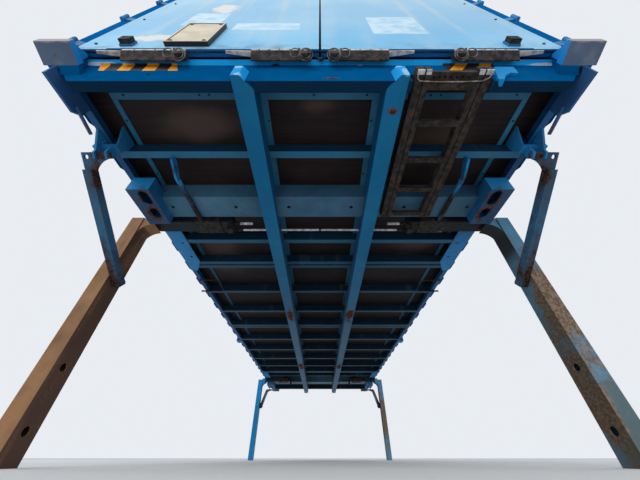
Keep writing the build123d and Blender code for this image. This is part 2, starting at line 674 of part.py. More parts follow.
def slide_sleeve():
    """The collar round the right rear carrier, hung from the floor by a slotted plate."""
    half = CARRIER_DEPTH / 2
    t = SLEEVE_WALL
    x0, x1 = (X_RAIL - d for d in SLEEVE_PLACE)
    rear = -Y_LEG - half - t
    collar = box(x0, x1, rear, -Y_LEG + half + t, Z_CARRIER - t, Z_BEAM)
    collar -= box(x0 - t, x1 + t, -Y_LEG - half - GAP_FLUSH, -Y_LEG + half + GAP_FLUSH, Z_CARRIER - GAP_FLUSH,
                  Z_BEAM + t)
    length, width = HANGER_SLOT
    x = x0 + HANGER_WIDTH / 2
    z = (Z_CARRIER + Z_BEAM) / 2
    hanger = box(x0, x0 + HANGER_WIDTH, rear - HANGER_WALL, rear, Z_CARRIER - t, Z_FLOOR)
    reach = (length - width) / 2
    hanger -= box(x - reach, x + reach, rear - 2 * HANGER_WALL, rear, z - width / 2, z + width / 2)
    for end in (x - reach, x + reach):
        hanger -= rod((end, rear - 2 * HANGER_WALL, z), (end, rear, z), width / 2)
    return collar + hanger


def leg_lock():
    """The block under the right rear carrier's inner end, and the round bolt that comes out of that end."""
    wide, deep, high = LOCK_BLOCK
    y = -Y_LEG
    rear, front = y - deep / 2, y + deep / 2
    z = (Z_CARRIER + Z_BEAM) / 2
    block = box(X_CARRIER - GAP_FLUSH, X_CARRIER + wide, rear, front, Z_CARRIER - high, Z_CARRIER)
    plate = box(X_CARRIER - CARRIER_WALL, X_CARRIER, rear, front, Z_CARRIER - high, Z_BEAM)
    bolt = rod((X_CARRIER - LOCK_BOLT_LENGTH, y, z), (X_CARRIER - CARRIER_WALL, y, z), LOCK_BOLT_RADIUS)
    return block + plate + bolt


def cross_bar_y():
    return Y_LEG - CROSS_BAR_FROM_LEG


def cross_bar_z():
    return Z_BEAM - CROSS_BAR_DROP


def cross_bar():
    """The thin bar between the rear locks, through both guide rails, with a collar at each end."""
    over, length = CROSS_BAR_COLLAR
    half = X_CARRIER - CROSS_BAR_SHORT
    y, z = -cross_bar_y(), cross_bar_z()
    bar = rod((-half, y, z), (half, y, z), CROSS_BAR_RADIUS)
    for x in (-half, half - length):
        bar += rod((x, y, z), (x + length, y, z), CROSS_BAR_RADIUS + over)
    return bar


# Struts and their brackets

def on_strut(u, w):
    """The (y, z) place at u down the right rear strut from its head and w above its middle line."""
    length = hypot(STRUT_RUN, STRUT_FALL)
    dy, dz = STRUT_RUN / length, -STRUT_FALL / length
    return -Y_HEAD + u * dy - w * dz, Z_HEAD + u * dz + w * dy


def strut():
    """The right rear strut: a box tube with a curved head plate, and its pivot on the leg."""
    length = hypot(STRUT_RUN, STRUT_FALL)
    half = STRUT_SIDE / 2
    x1 = X_LEG_IN - STRUT_STAND
    x0 = x1 - STRUT_SIDE

    def tube_outline(inset):
        start, end = STRUT_TUBE_START + inset, length + half - inset
        return [on_strut(start, inset - half), on_strut(end, inset - half), on_strut(end, half - inset),
                on_strut(start, half - inset)]

    t = STRUT_WALL
    tube = across(tube_outline(0.0), x0, x1) - across(tube_outline(t), x0 + t, x1 - t)

    def on_plate(x, u):
        return Vector(x, *on_strut(u, -HEAD_PLATE / 2))

    tip = x1 - HEAD_REACH
    neck = HEAD_SQUARE + HEAD_CURVE
    reach = HEAD_REACH - STRUT_SIDE
    bulge = radians(50)
    corners = [on_plate(x0, neck), on_plate(x0, neck + half), on_plate(x1, neck + half), on_plate(x1, 0.0),
               on_plate(tip, 0.0), on_plate(tip, HEAD_SQUARE)]
    middle = on_plate(tip + reach * sin(bulge), HEAD_SQUARE + HEAD_CURVE * (1 - cos(bulge)))
    edges = [Edge.make_line(a, b) for a, b in zip(corners, corners[1:])]
    edges.append(Edge.make_three_point_arc(corners[-1], middle, corners[0]))
    normal = (Vector(0, *on_strut(0.0, 1.0)) - Vector(0, *on_strut(0.0, 0.0)))
    head = Solid.extrude(Face(Wire(edges)), normal * HEAD_PLATE)
    eye_in, eye_down = HEAD_EYE
    eye_y, eye_z = on_strut(eye_down, 0.0)
    head -= through(x1 - eye_in, eye_y, eye_z, tuple(normal), HEAD_EYE_RADIUS, HEAD_PLATE)

    pin_y, pin_z = on_strut(length, 0.0)
    turn = Axis((x1, pin_y, pin_z), tuple(normal))
    frame = (tube + head).rotate(turn, degrees(asin(STRUT_SPLAY / length)))
    pivot = rod((x0 - PIVOT_OUT, pin_y, pin_z), (X_LEG_IN, pin_y, pin_z), PIVOT_RADIUS)
    collar = rod((x0 - PIVOT_OUT / 2, pin_y, pin_z), (x0 + t, pin_y, pin_z), PIVOT_RADIUS + PIVOT_COLLAR)
    return frame + pivot + collar


def strut_bracket():
    """The right rear bracket: an outrigger bar, a web, a drilled plate and a hook, slotted for the head."""
    deep, high = BRACKET_BAR
    y0 = -Y_HEAD - BRACKET_BAR_BEHIND
    y1 = y0 + deep
    z0 = Z_BEAM - BRACKET_BAR_DROP
    x0, x1 = (X_RAIL + d for d in BRACKET_BAR_X)
    t = BRACKET_PLATE
    body = box(x0, x1, y0, y1, z0, z0 + high)
    web = [(y0, z0 + high), (y1, z0 + high), (-Y_BEAM_REAR, Z_BEAM), (-Y_BEAM_REAR, Z_FLOOR),
           (y0 - deep, Z_FLOOR)]
    body += across(web, x0, x0 + t)
    half = HEAD_PLATE / 2 + GAP_FLUSH
    end = -BRACKET_LIP / 3
    slot = [on_strut(end, -half), on_strut(2 * BRACKET_GRIP, -half), on_strut(2 * BRACKET_GRIP, half),
            on_strut(end, half)]
    lip = BRACKET_LIP
    jaw = [on_strut(-lip, 0.0), on_strut(0.0, -half - lip), on_strut(BRACKET_GRIP, -half - lip),
           on_strut(BRACKET_GRIP, half + lip), (y1, z0)]
    plate = across([(-Y_HEAD - BRACKET_REAR, Z_BEAM)] + jaw + [(y1, Z_BEAM)], X_RAIL - t, X_RAIL)
    for back, down in BRACKET_HOLES:
        plate -= through(X_RAIL, -Y_HEAD - back, Z_BEAM - down, (1, 0, 0), BRACKET_HOLE_RADIUS, 2 * t)
    body += plate - across(slot, X_RAIL - 2 * t, X_RAIL + t)
    x = X_RAIL - BRACKET_HOOK_IN
    return body + (across([(y0, z0)] + jaw, x, x + t) - across(slot, x - t, x + 2 * t))


def operating_rod():
    """The right rear operating rod: a link hung under the rear cross-member, and a bar to the sleeve."""
    x0, x1 = (X_RAIL - d for d in OPERATING_X)
    thick, high = OPERATING_LINK_SIZE
    start, joint = (-Y_BEAM_REAR + d for d in OPERATING_LINK)
    end = -Y_LEG - CARRIER_DEPTH / 2 - SLEEVE_WALL - HANGER_WALL - GAP_FLUSH - 1.0
    z_joint = Z_WIDE - OPERATING_RADIUS - GAP_FLUSH
    link = across([(start, Z_BEAM), (start + high, Z_BEAM), (joint + high / 2, z_joint),
                   (joint + high / 2, z_joint - high / 2), (joint - high / 2, z_joint - high / 2),
                   (start, Z_BEAM - high)], x0 - thick / 2, x0 + thick / 2)
    return link + rod((x0, joint, z_joint), (x1, end, Z_CARRIER), OPERATING_RADIUS)


# Small fittings beside and under the rails

def doubler_plate():
    """The right rear plate under the rail for lifting arms, with two holes and a slanted end."""
    x0, x1 = (X_RAIL - d for d in DOUBLER_X)
    rear = -Y_LEG + DOUBLER_FROM_LEG
    front = rear + DOUBLER_LENGTH
    taper_x, taper_y = DOUBLER_TAPER
    z0 = Z_BEAM - DOUBLER_THICKNESS
    plate = upright([(x0, rear), (x1, rear), (x1, front), (x0 + taper_x, front), (x0, front - taper_y)], z0,
                    Z_BEAM)
    for place in DOUBLER_HOLES:
        plate -= through((x0 + X_RAIL_LIP) / 2, rear + place, z0, (0, 0, 1), DOUBLER_HOLE_RADIUS,
                         2 * DOUBLER_THICKNESS)
    return plate


def leg_rest():
    """The right rear wire bow, on whose sleeved end the folded leg lies."""
    over, length = REST_SLEEVE
    r = REST_RADIUS
    z = Z_BEAM - r - over - GAP_FLUSH
    inner, tail, tip = (X_RAIL - d for d in REST_X)
    rear, front = (-Y_LEG + d for d in REST_FROM_LEG)
    corners = ((tail, rear, z), (inner, rear, z), (inner, front, z), (tip, front, z))
    line = FilletPolyline(*corners, radius=REST_BEND)
    bow = sweep(Plane(origin=line @ 0, z_dir=line % 0) * RegularPolygon(r, WIRE_SIDES), path=line)
    bow += rod((tip - length, front, z), (tip, front, z), r + over)
    foot = box(tail - over, tail + over, rear - r, rear + r, z, Z_BEAM)
    return bow + foot


def leg_keeper():
    """The right keeper in the middle of the body: a plate under the rail with a lip outside it."""
    x0, x1 = (X_RAIL - d for d in KEEPER_X)
    y0, y1 = KEEPER_Y
    t = KEEPER_THICKNESS
    z0 = Z_BEAM - t
    return box(x0, x1, y0, y1, z0, Z_BEAM) + box(x1 - t, x1, y0, y1, z0, Z_BEAM + KEEPER_LIP)


def sill_hook():
    """The hook on the sill: a slanting plate on its face, with a tongue turned in under its edge."""
    face = -Y_SILL
    outline = [(X_HOOK + x, Z_BASE + z) for x, z in HOOK_OUTLINE]
    plate = along(outline, face - HOOK_PLATE, face)
    reach, thick, tip = HOOK_TONGUE
    foot = HOOK_OUTLINE[1][0]
    near, far = face - HOOK_PLATE, face - HOOK_PLATE + reach
    root = X_HOOK + foot
    tongue = [(X_HOOK, near), (root, near), (root, far), (root - tip, far)]
    return plate + upright(tongue, Z_BASE - thick, Z_BASE)


# Ladder

def ladder_ends():
    """Rear and front end of the ladder."""
    last = -Y_SILL + LADDER_FIRST_RUNG + (LADDER_RUNGS - 1) * LADDER_PITCH
    return -Y_SILL - LADDER_OUT, last + LADDER_RUNG[0]


def ladder():
    """Two finned stiles with closed ends, a drilled first step, plain rungs and a wire behind the step."""
    width, height = LADDER_STILE
    fin, fin_height = LADDER_FIN
    rear, front = ladder_ends()
    z0 = Z_LADDER
    z_fin = z0 + (height - fin_height) / 2
    inside = LADDER_HALF - width
    body = None
    for side in (-1, 1):
        x = LADDER_MIDDLE + side * LADDER_HALF
        stile = box(x, x - side * width, rear - CAP_THICKNESS, front, z0, z0 + height)
        stile += box(x, x + side * fin, rear, front, z_fin, z_fin + fin_height)
        body = stile if body is None else body + stile
    drilled, plain, sheet_thickness = LADDER_STEP
    x0, x1 = LADDER_MIDDLE - inside, LADDER_MIDDLE + inside
    step = box(x0, x1, rear, rear + drilled + plain, z0, z0 + sheet_thickness)
    step += box(x0, x1, rear, rear + sheet_thickness, z0, z0 + height / 2)
    for i in range(LADDER_STEP_HOLES):
        x = x0 + (x1 - x0) * (i + 0.5) / LADDER_STEP_HOLES
        step -= through(x, rear + drilled / 2, z0, (0, 0, 1), LADDER_HOLE_RADIUS, 2 * sheet_thickness)
    body += step
    y_wire = rear + drilled
    body += rod((x0, y_wire, z0), (x1, y_wire, z0), LADDER_WIRE_RADIUS)
    deep, high = LADDER_RUNG
    for i in range(LADDER_RUNGS):
        y = -Y_SILL + LADDER_FIRST_RUNG + i * LADDER_PITCH
        body += box(x0, x1, y - deep / 2, y + deep / 2, z0, z0 + high)
    return body


def ladder_track(side):
    """A channel open towards the ladder and capped at the rear, which holds one stile's fin."""
    height = LADDER_STILE[1]
    t = TRACK_WALL
    rear, front = ladder_ends()
    lip = LADDER_HALF + TRACK_GAP
    web = lip + TRACK_WIDTH
    z0, z1 = Z_LADDER, Z_LADDER + height
    outline = [(lip, z0), (web, z0), (web, z1), (lip, z1), (lip, z1 - t), (web - t, z1 - t),
               (web - t, z0 + t), (lip, z0 + t)]
    fin_height = LADDER_FIN[1] / 2 + TRACK_PLAY
    middle = (z0 + z1) / 2
    track = along([(LADDER_MIDDLE + side * x, z) for x, z in outline], rear, front)
    inner = LADDER_MIDDLE + side * (web - 2 * t)
    outer = LADDER_MIDDLE + side * (lip + t)
    for low, high in ((z0 + t, middle - fin_height), (middle + fin_height, z1 - t)):
        track += box(inner, outer, rear, front, low, high)
    hang = LADDER_MIDDLE + side * web
    track += box(hang, LADDER_MIDDLE + side * lip, rear - CAP_THICKNESS, rear, z0, z1)
    track += box(hang, outer, -Y_BEAM_REAR, -Y_BEAM_REAR + BEAM_FLANGE, z1, Z_BEAM)
    track += box(hang, outer, -Y_WIDE_REAR, front, z1, Z_WIDE)
    return track


# Doors

def door_leaf():
    """The right leaf, which laps the post, with a step round its inner face for the seal."""
    depth, width = DOOR_EDGE
    leaf = box(X_DOOR_IN, X_DOOR_OUT, -Y_DOOR_OUT, -Y_DOOR_OUT + DOOR_LAP, Z_DOOR, Z_DOOR_TOP)
    leaf += box(X_DOOR_IN, X_DOOR_PANEL, -Y_DOOR_OUT, -Y_DOOR_IN - depth, Z_DOOR, Z_DOOR_TOP)
    return leaf + box(X_DOOR_IN, X_DOOR_PANEL - width, -Y_DOOR_IN - depth, -Y_DOOR_IN, Z_DOOR + width,
                      Z_DOOR_TOP - width)


def hinge_heights():
    low, high = Z_DOOR + HINGE_ENDS[0], Z_DOOR_TOP - HINGE_ENDS[1]
    return [low + i * (high - low) / (HINGE_COUNT - 1) for i in range(HINGE_COUNT)]


def post_hinge(z):
    """Two ears on the right rear post, joined by the hinge pin."""
    half = HINGE_BARREL / 2 + HINGE_PLAY
    rim = HINGE_PIN_RADIUS + HINGE_EAR_RIM
    x0, x1 = X_HINGE - rim, X_HINGE + rim
    root, rear = -Y_POST_REAR, -Y_HINGE - rim
    cut = HINGE_EAR_RIM
    outline = [(x0, root), (x0, rear + cut), (x0 + cut, rear), (x1 - cut, rear), (x1, rear + cut), (x1, root)]
    low, high = z - half - HINGE_EAR, z + half + HINGE_EAR
    ears = upright(outline, z + half, high) + upright(outline, low, z - half)
    return ears + turned((X_HINGE, -Y_HINGE, low), (X_HINGE, -Y_HINGE, high), HINGE_PIN_RADIUS)


def door_hinge(z):
    """The barrel that turns on the pin, with its blade welded to the leaf's edge."""
    half = HINGE_BARREL / 2
    face = -Y_DOOR_OUT
    hinge = rod((X_HINGE, -Y_HINGE, z - half), (X_HINGE, -Y_HINGE, z + half), HINGE_BARREL_RADIUS, HOLE_SIDES)
    hinge += upright([(X_DOOR_OUT, face), (X_HINGE, -Y_HINGE), (X_HINGE, face + HINGE_BLADE),
                      (X_DOOR_OUT, face + HINGE_BLADE)], z - half, z + half)
    bore = HINGE_PIN_RADIUS + HINGE_RUN
    return hinge - turned((X_HINGE, -Y_HINGE, z - 2 * half), (X_HINGE, -Y_HINGE, z + 2 * half), bore)


def lock(start, housing, lever):
    """One lock under the right leaf: a wedge housing with a round inner end and a lying lever."""
    y0 = -Y_DOOR_OUT
    y1 = -Y_NOSE - LOCK_CLEAR
    top = Z_DOOR
    shallow, deep = LOCK_HEIGHTS
    r = LOCK_HUB_RADIUS
    end = start + housing
    outline = [(y0, top), (y0, top - shallow), (y1 - LOCK_FOOT, top - deep), (y1, top - deep), (y1, top)]
    body = across(outline, start + r, end)
    body += turned((start + r, y0, top - r), (start + r, y1, top - r), r)
    root, tip, thick, down = LOCK_LEVER
    z = top - down
    bar = [(end, y0 + thick / 2), (end + lever, y0 + thick / 4), (end + lever, y0 + thick / 4 + tip),
           (end, y0 + thick / 2 + root)]
    return body + upright(bar, z - thick, z)


def plate_holder():
    """The framed plate holder on the left leaf."""
    x1, x0 = (-x for x in PLATE_X)
    z0, z1 = (Z_DOOR + z for z in PLATE_Z)
    face = -Y_DOOR_OUT
    front = face - PLATE_THICKNESS
    rim = PLATE_RIM
    holder = box(x0, x1, front, face, z0, z1)
    return holder - box(x0 + rim, x1 - rim, front - PLATE_RECESS, front + PLATE_RECESS, z0 + rim, z1 - rim)


def buffer_place():
    return X_DOOR_OUT - BUFFER_FROM_EDGE, Z_DOOR + BUFFER_HEIGHT


def buffer_base():
    """The steel base under the right buffer."""
    x, z = buffer_place()
    size, thick = BUFFER_BASE
    half = size / 2
    return box(x - half, x + half, -Y_DOOR_OUT - thick, -Y_DOOR_OUT, z - half, z + half)


def door_buffer():
    """The right rubber buffer."""
    x, z = buffer_place()
    half = BUFFER_SIZE / 2
    back = -Y_DOOR_OUT - BUFFER_BASE[1]
    return box(x - half, x + half, back - BUFFER_THICKNESS, back, z - half, z + half)


def floor_frame():
    save("floor_boards", floor_boards())
    save("cross_members", [cross_member(y) for y in beam_places()])
    save("floor_bearers", bearers())
    fittings = both_sides([corner_fitting()])
    for end, turn in (("rear", same), ("front", flip_y)):
        save(f"wide_beam_{end}", [turn(wide_beam())])
        save(f"corner_fittings_{end}", [turn(fitting) for fitting in fittings])
    for side, mirror in (("right", same), ("left", flip_x)):
        save(f"guide_rail_{side}", [mirror(guide_rail())])
        save(f"side_rail_{side}", [mirror(side_rail())])


def end_frames():
    save("rear_sill", [rear_sill()])
    save("corner_blocks", both_sides([corner_block(), front_block()]))
    save("corner_gussets", both_sides([corner_gusset()]))
    save("rear_posts", both_sides([rear_post()]))
    save("front_posts", both_sides([hollow_box(X_POST_IN, X_SIDE, Y_FRONT_POST, Y_END, Z_BEAM, Z_TOP,
                                               POST_WALL)]))
    save("rear_header", [hollow_box(-X_POST_IN, X_POST_IN, -Y_POST_REAR, -Y_POST_FRONT, Z_HEADER, Z_TOP,
                                    POST_WALL)])
    y1 = Y_FRONT_POST + FRONT_BEAM
    save("front_header", [hollow_box(-X_POST_IN, X_POST_IN, Y_FRONT_POST, y1, Z_HEADER, Z_TOP, POST_WALL)])
    save("front_sill", [hollow_box(-X_POST_IN, X_POST_IN, Y_FRONT_POST, y1, Z_BEAM - FRONT_DROP, Z_DECK,
                                   POST_WALL)])


def shell():
    for side, mirror in (("right", same), ("left", flip_x)):
        save(f"side_wall_{side}", [mirror(side_wall())])
    save("front_wall", [front_wall()])
    save("roof", [roof()])
    top_rail = hollow_box(X_RAIL - TOP_RAIL, X_RAIL, -Y_POST_FRONT, Y_FRONT_POST, Z_ROOF - TOP_RAIL, Z_ROOF,
                          RAIL_WALL)
    save("top_rails", both_sides([top_rail]))


def support():
    right_leg, right_strut = leg(), strut()
    for end, turn in (("rear", same), ("front", flip_y)):
        for side, mirror in (("right", same), ("left", flip_x)):
            save(f"leg_{end}_{side}", [mirror(turn(right_leg))])
            save(f"strut_{end}_{side}", [mirror(turn(right_strut))])
        save(f"leg_carriers_{end}", both_sides([turn(leg_carrier())]))
        save(f"strut_brackets_{end}", both_sides([turn(strut_bracket())]))
        save(f"leg_locks_{end}", both_sides([turn(slide_sleeve()), turn(leg_lock())]) + [turn(cross_bar())])


def small_fittings():
    save("operating_rods", both_sides([operating_rod()]))
    save("grapple_plates", both_sides([doubler_plate(), flip_y(doubler_plate())]))
    save("leg_rests", both_sides([leg_rest()]))
    save("leg_keepers", both_sides([leg_keeper()]))
    save("sill_hook", [sill_hook()])
    save("ladder", [ladder()])
    save("ladder_guides", [ladder_track(-1), ladder_track(1)])


def doors():
    inner, housing, lever = LOCK_INNER
    outer, outer_housing, outer_lever = LOCK_OUTER
    locks = [lock(inner, housing, lever), lock(X_DOOR_OUT - outer, outer_housing, outer_lever)]
    hinges = [door_hinge(z) for z in hinge_heights()] + [buffer_base()]
    for side, mirror in (("right", same), ("left", flip_x)):
        save(f"door_{side}", [mirror(door_leaf())])
        save(f"door_locks_{side}", [mirror(each) for each in locks])
        save(f"door_hinges_{side}", [mirror(each) for each in hinges])
        save(f"door_buffer_{side}", [mirror(door_buffer())])
    save("post_hinges", both_sides([post_hinge(z) for z in hinge_heights()]))
    save("document_plate", [plate_holder()])


os.makedirs("parts", exist_ok=True)
floor_frame()
end_frames()
shell()
support()
small_fittings()
doors()
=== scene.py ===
"""Looks of a parked swap body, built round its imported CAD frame. Metres; X across, rear towards -Y, Z up."""

import logging
from dataclasses import dataclass, field
from enum import Enum
from math import cos, pi, radians, sin

import bmesh
import bpy
import numpy as np
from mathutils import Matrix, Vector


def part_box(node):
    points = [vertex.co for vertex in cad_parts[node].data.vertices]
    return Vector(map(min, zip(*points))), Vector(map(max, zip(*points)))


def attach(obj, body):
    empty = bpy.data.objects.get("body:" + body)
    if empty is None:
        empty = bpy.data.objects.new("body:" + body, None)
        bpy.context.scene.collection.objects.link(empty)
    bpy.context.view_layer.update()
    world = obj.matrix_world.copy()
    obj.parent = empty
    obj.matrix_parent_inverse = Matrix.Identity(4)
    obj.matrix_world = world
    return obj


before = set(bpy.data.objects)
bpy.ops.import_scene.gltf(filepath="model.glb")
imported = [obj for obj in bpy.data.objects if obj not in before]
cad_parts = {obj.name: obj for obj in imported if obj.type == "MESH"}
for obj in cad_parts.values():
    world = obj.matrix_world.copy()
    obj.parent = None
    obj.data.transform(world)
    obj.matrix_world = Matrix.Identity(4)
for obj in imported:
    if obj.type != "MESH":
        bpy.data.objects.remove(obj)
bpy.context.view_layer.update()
LOG = logging.getLogger("swap_body")

Colour = tuple[float, float, float, float]
Triple = tuple[float, float, float]
Outline = tuple[tuple[float, float], ...]
Material = bpy.types.Material
SIDES = ("right", "left")
BEND_SIDES = 8
SMOOTH_BELOW = radians(35.0)
MERGE_WITHIN = 1e-6


def tint(code: str) -> Colour:
    """The linear colour of a written one.

    Args:
        code: Six hexadecimal digits.

    Returns:
        Red, green, blue and one.
    """
    parts = np.array([int(code[start:start + 2], 16) for start in (0, 2, 4)]) / 255.0
    dark = parts / 12.92
    light = ((parts + 0.055) / 1.055) ** 2.4
    return (*np.where(parts <= 0.04045, dark, light).tolist(), 1.0)


class Body(Enum):
    """The bodies that pieces ride on."""

    FRAME = "frame"
    DOOR_RIGHT = "door_right"
    DOOR_LEFT = "door_left"


# Shader maths

class Value:
    """A socket of a material, on which Python's operators add maths nodes."""

    def __init__(self, graph: "Graph", socket: bpy.types.NodeSocket) -> None:
        """Wrap a socket.

        Args:
            graph: The material's nodes.
            socket: The output to read.
        """
        self.graph = graph
        self.socket = socket

    def _maths(self, operation: str, first: object, second: object) -> "Value":
        """The result of one maths node."""
        return self.graph.add("ShaderNodeMath", {"operation": operation}, {0: first, 1: second})

    def __add__(self, other: object) -> "Value":
        """The sum."""
        return self._maths("ADD", self, other)

    __radd__ = __add__

    def __sub__(self, other: object) -> "Value":
        """The difference."""
        return self._maths("SUBTRACT", self, other)

    def __rsub__(self, other: object) -> "Value":
        """The difference, the other way round."""
        return self._maths("SUBTRACT", other, self)

    def __mul__(self, other: object) -> "Value":
        """The product."""
        return self._maths("MULTIPLY", self, other)

    __rmul__ = __mul__

    def __truediv__(self, other: object) -> "Value":
        """The quotient."""
        return self._maths("DIVIDE", self, other)

    def most(self, other: object) -> "Value":
        """The larger of the two."""
        return self._maths("MAXIMUM", self, other)

    def wrap(self) -> "Value":
        """What is left over from the whole number below."""
        return self._maths("FRACT", self, 0.0)

    def size(self) -> "Value":
        """The value without its sign."""
        return self._maths("ABSOLUTE", self, 0.0)

    def ramp(self, low: float, high: float) -> "Value":
        """A smooth rise from 0 at low to 1 at high; it falls where low is the larger."""
        settings = {"interpolation_type": "SMOOTHSTEP"}
        return self.graph.add("ShaderNodeMapRange", settings, {0: self, 1: low, 2: high, 3: 0.0, 4: 1.0})


class Graph:
    """The nodes of one material."""

    def __init__(self, name: str) -> None:
        """Make an empty material.

        Args:
            name: The material's name.
        """
        self.material = bpy.data.materials.new(name)
        self.material.use_nodes = True
        self.tree = self.material.node_tree
        self.tree.nodes.clear()
        self.place = self.add("ShaderNodeTexCoord", {}, {}, "Object")

    def add(self, kind: str, settings: dict, sockets: dict, output: object = 0) -> Value:
        """Add a node.

        Args:
            kind: The node's type.
            settings: Its own properties, which are set first.
            sockets: Values or links by the name or number of the input.
            output: The name or number of the output that is returned.

        Returns:
            That output.
        """
        node = self.tree.nodes.new(kind)
        for name, setting in settings.items():
            setattr(node, name, setting)
        for key, given in sockets.items():
            if isinstance(given, Value):
                self.tree.links.new(given.socket, node.inputs[key])
            else:
                node.inputs[key].default_value = given
        return Value(self, node.outputs[output])

    def axes(self) -> tuple[Value, Value, Value]:
        """The three object coordinates."""
        return tuple(self.add("ShaderNodeSeparateXYZ", {}, {0: self.place}, i) for i in range(3))

    def facing(self) -> tuple[Value, Value, Value]:
        """The three parts of the surface's own normal."""
        normal = self.add("ShaderNodeTexCoord", {}, {}, "Normal")
        return tuple(self.add("ShaderNodeSeparateXYZ", {}, {0: normal}, i) for i in range(3))

    def noise(self, scale: float, detail: float = 4.0, stretch: Triple = (1.0, 1.0, 1.0),
              shift: float = 0.0) -> Value:
        """Cloudy noise from 0 to 1 on object coordinates.

        Args:
            scale: Clouds per metre.
            detail: How many finer layers it has.
            stretch: Factors on the three coordinates.
            shift: Offset that gives another pattern.

        Returns:
            The noise.
        """
        spot = self.add("ShaderNodeMapping", {}, {0: self.place, 1: (shift, shift, shift), 3: stretch})
        return self.add("ShaderNodeTexNoise", {}, {"Vector": spot, "Scale": scale, "Detail": detail})

    def blend(self, share: object, first: object, second: object) -> Value:
        """The first colour where share is 0, and the second where it is 1."""
        settings = {"data_type": "RGBA"}
        return self.add("ShaderNodeMix", settings, {0: share, 6: first, 7: second}, 2)

    def spot(self, centre: Triple, reach: Triple, ragged: Value, soft: float = 0.4) -> Value:
        """A ragged patch: 1 in its middle and 0 outside.

        Args:
            centre: Its middle.
            reach: Its half sizes along the three axes.
            ragged: Noise that breaks its edge.
            soft: Share of the reach over which it fades.

        Returns:
            The patch.
        """
        near = self.add("ShaderNodeVectorMath", {"operation": "SUBTRACT"}, {0: self.place, 1: centre})
        even = self.add("ShaderNodeVectorMath", {"operation": "DIVIDE"}, {0: near, 1: reach})
        far = self.add("ShaderNodeVectorMath", {"operation": "LENGTH"}, {0: even}, "Value")
        return (far + (ragged - 0.5) * 1.6).ramp(1.0, 1.0 - soft)

    def surface(self, colour: object, rough: object, metal: object, height: Value, depth: float,
                gloss: float = 0.25) -> Material:
        """Close the material with its shader.

        Args:
            colour: Base colour.
            rough: Roughness.
            metal: Metallic share.
            height: Height of the relief from 0 to 1.
            depth: The relief's depth in metres.
            gloss: Strength of the mirror part, which is 0.5 on clean lacquer.

        Returns:
            The material.
        """
        normal = self.add("ShaderNodeBump", {}, {"Strength": 1.0, "Distance": depth, "Height": height})
        sockets = {"Base Color": colour, "Roughness": rough, "Metallic": metal, "Normal": normal,
                   "Specular IOR Level": gloss}
        shader = self.add("ShaderNodeBsdfPrincipled", {}, sockets)
        output = self.tree.nodes.new("ShaderNodeOutputMaterial")
        self.tree.links.new(shader.socket, output.inputs[0])
        return self.material


# Finishes

SHADOW_SPAN = (-2.9, -1.7)
DUST_SPAN = (-3.3, 0.3)
LOW_SIDE_TINT = (1.1, 0.35)
HIGH_SIDE_TINT = (1.02, 1.14)


@dataclass(frozen=True)
class Patch:
    """A place where the paint has gone: its middle, and its half sizes along the three axes."""

    centre: Triple
    reach: Triple


def mirrored(*patches: Patch) -> tuple[Patch, ...]:
    """Patches with their mirror images on the other side of the body.

    Args:
        patches: Patches on one side.

    Returns:
        Those of both sides.
    """
    return tuple(Patch((side * patch.centre[0], *patch.centre[1:]), patch.reach)
                 for side in (-1, 1) for patch in patches)


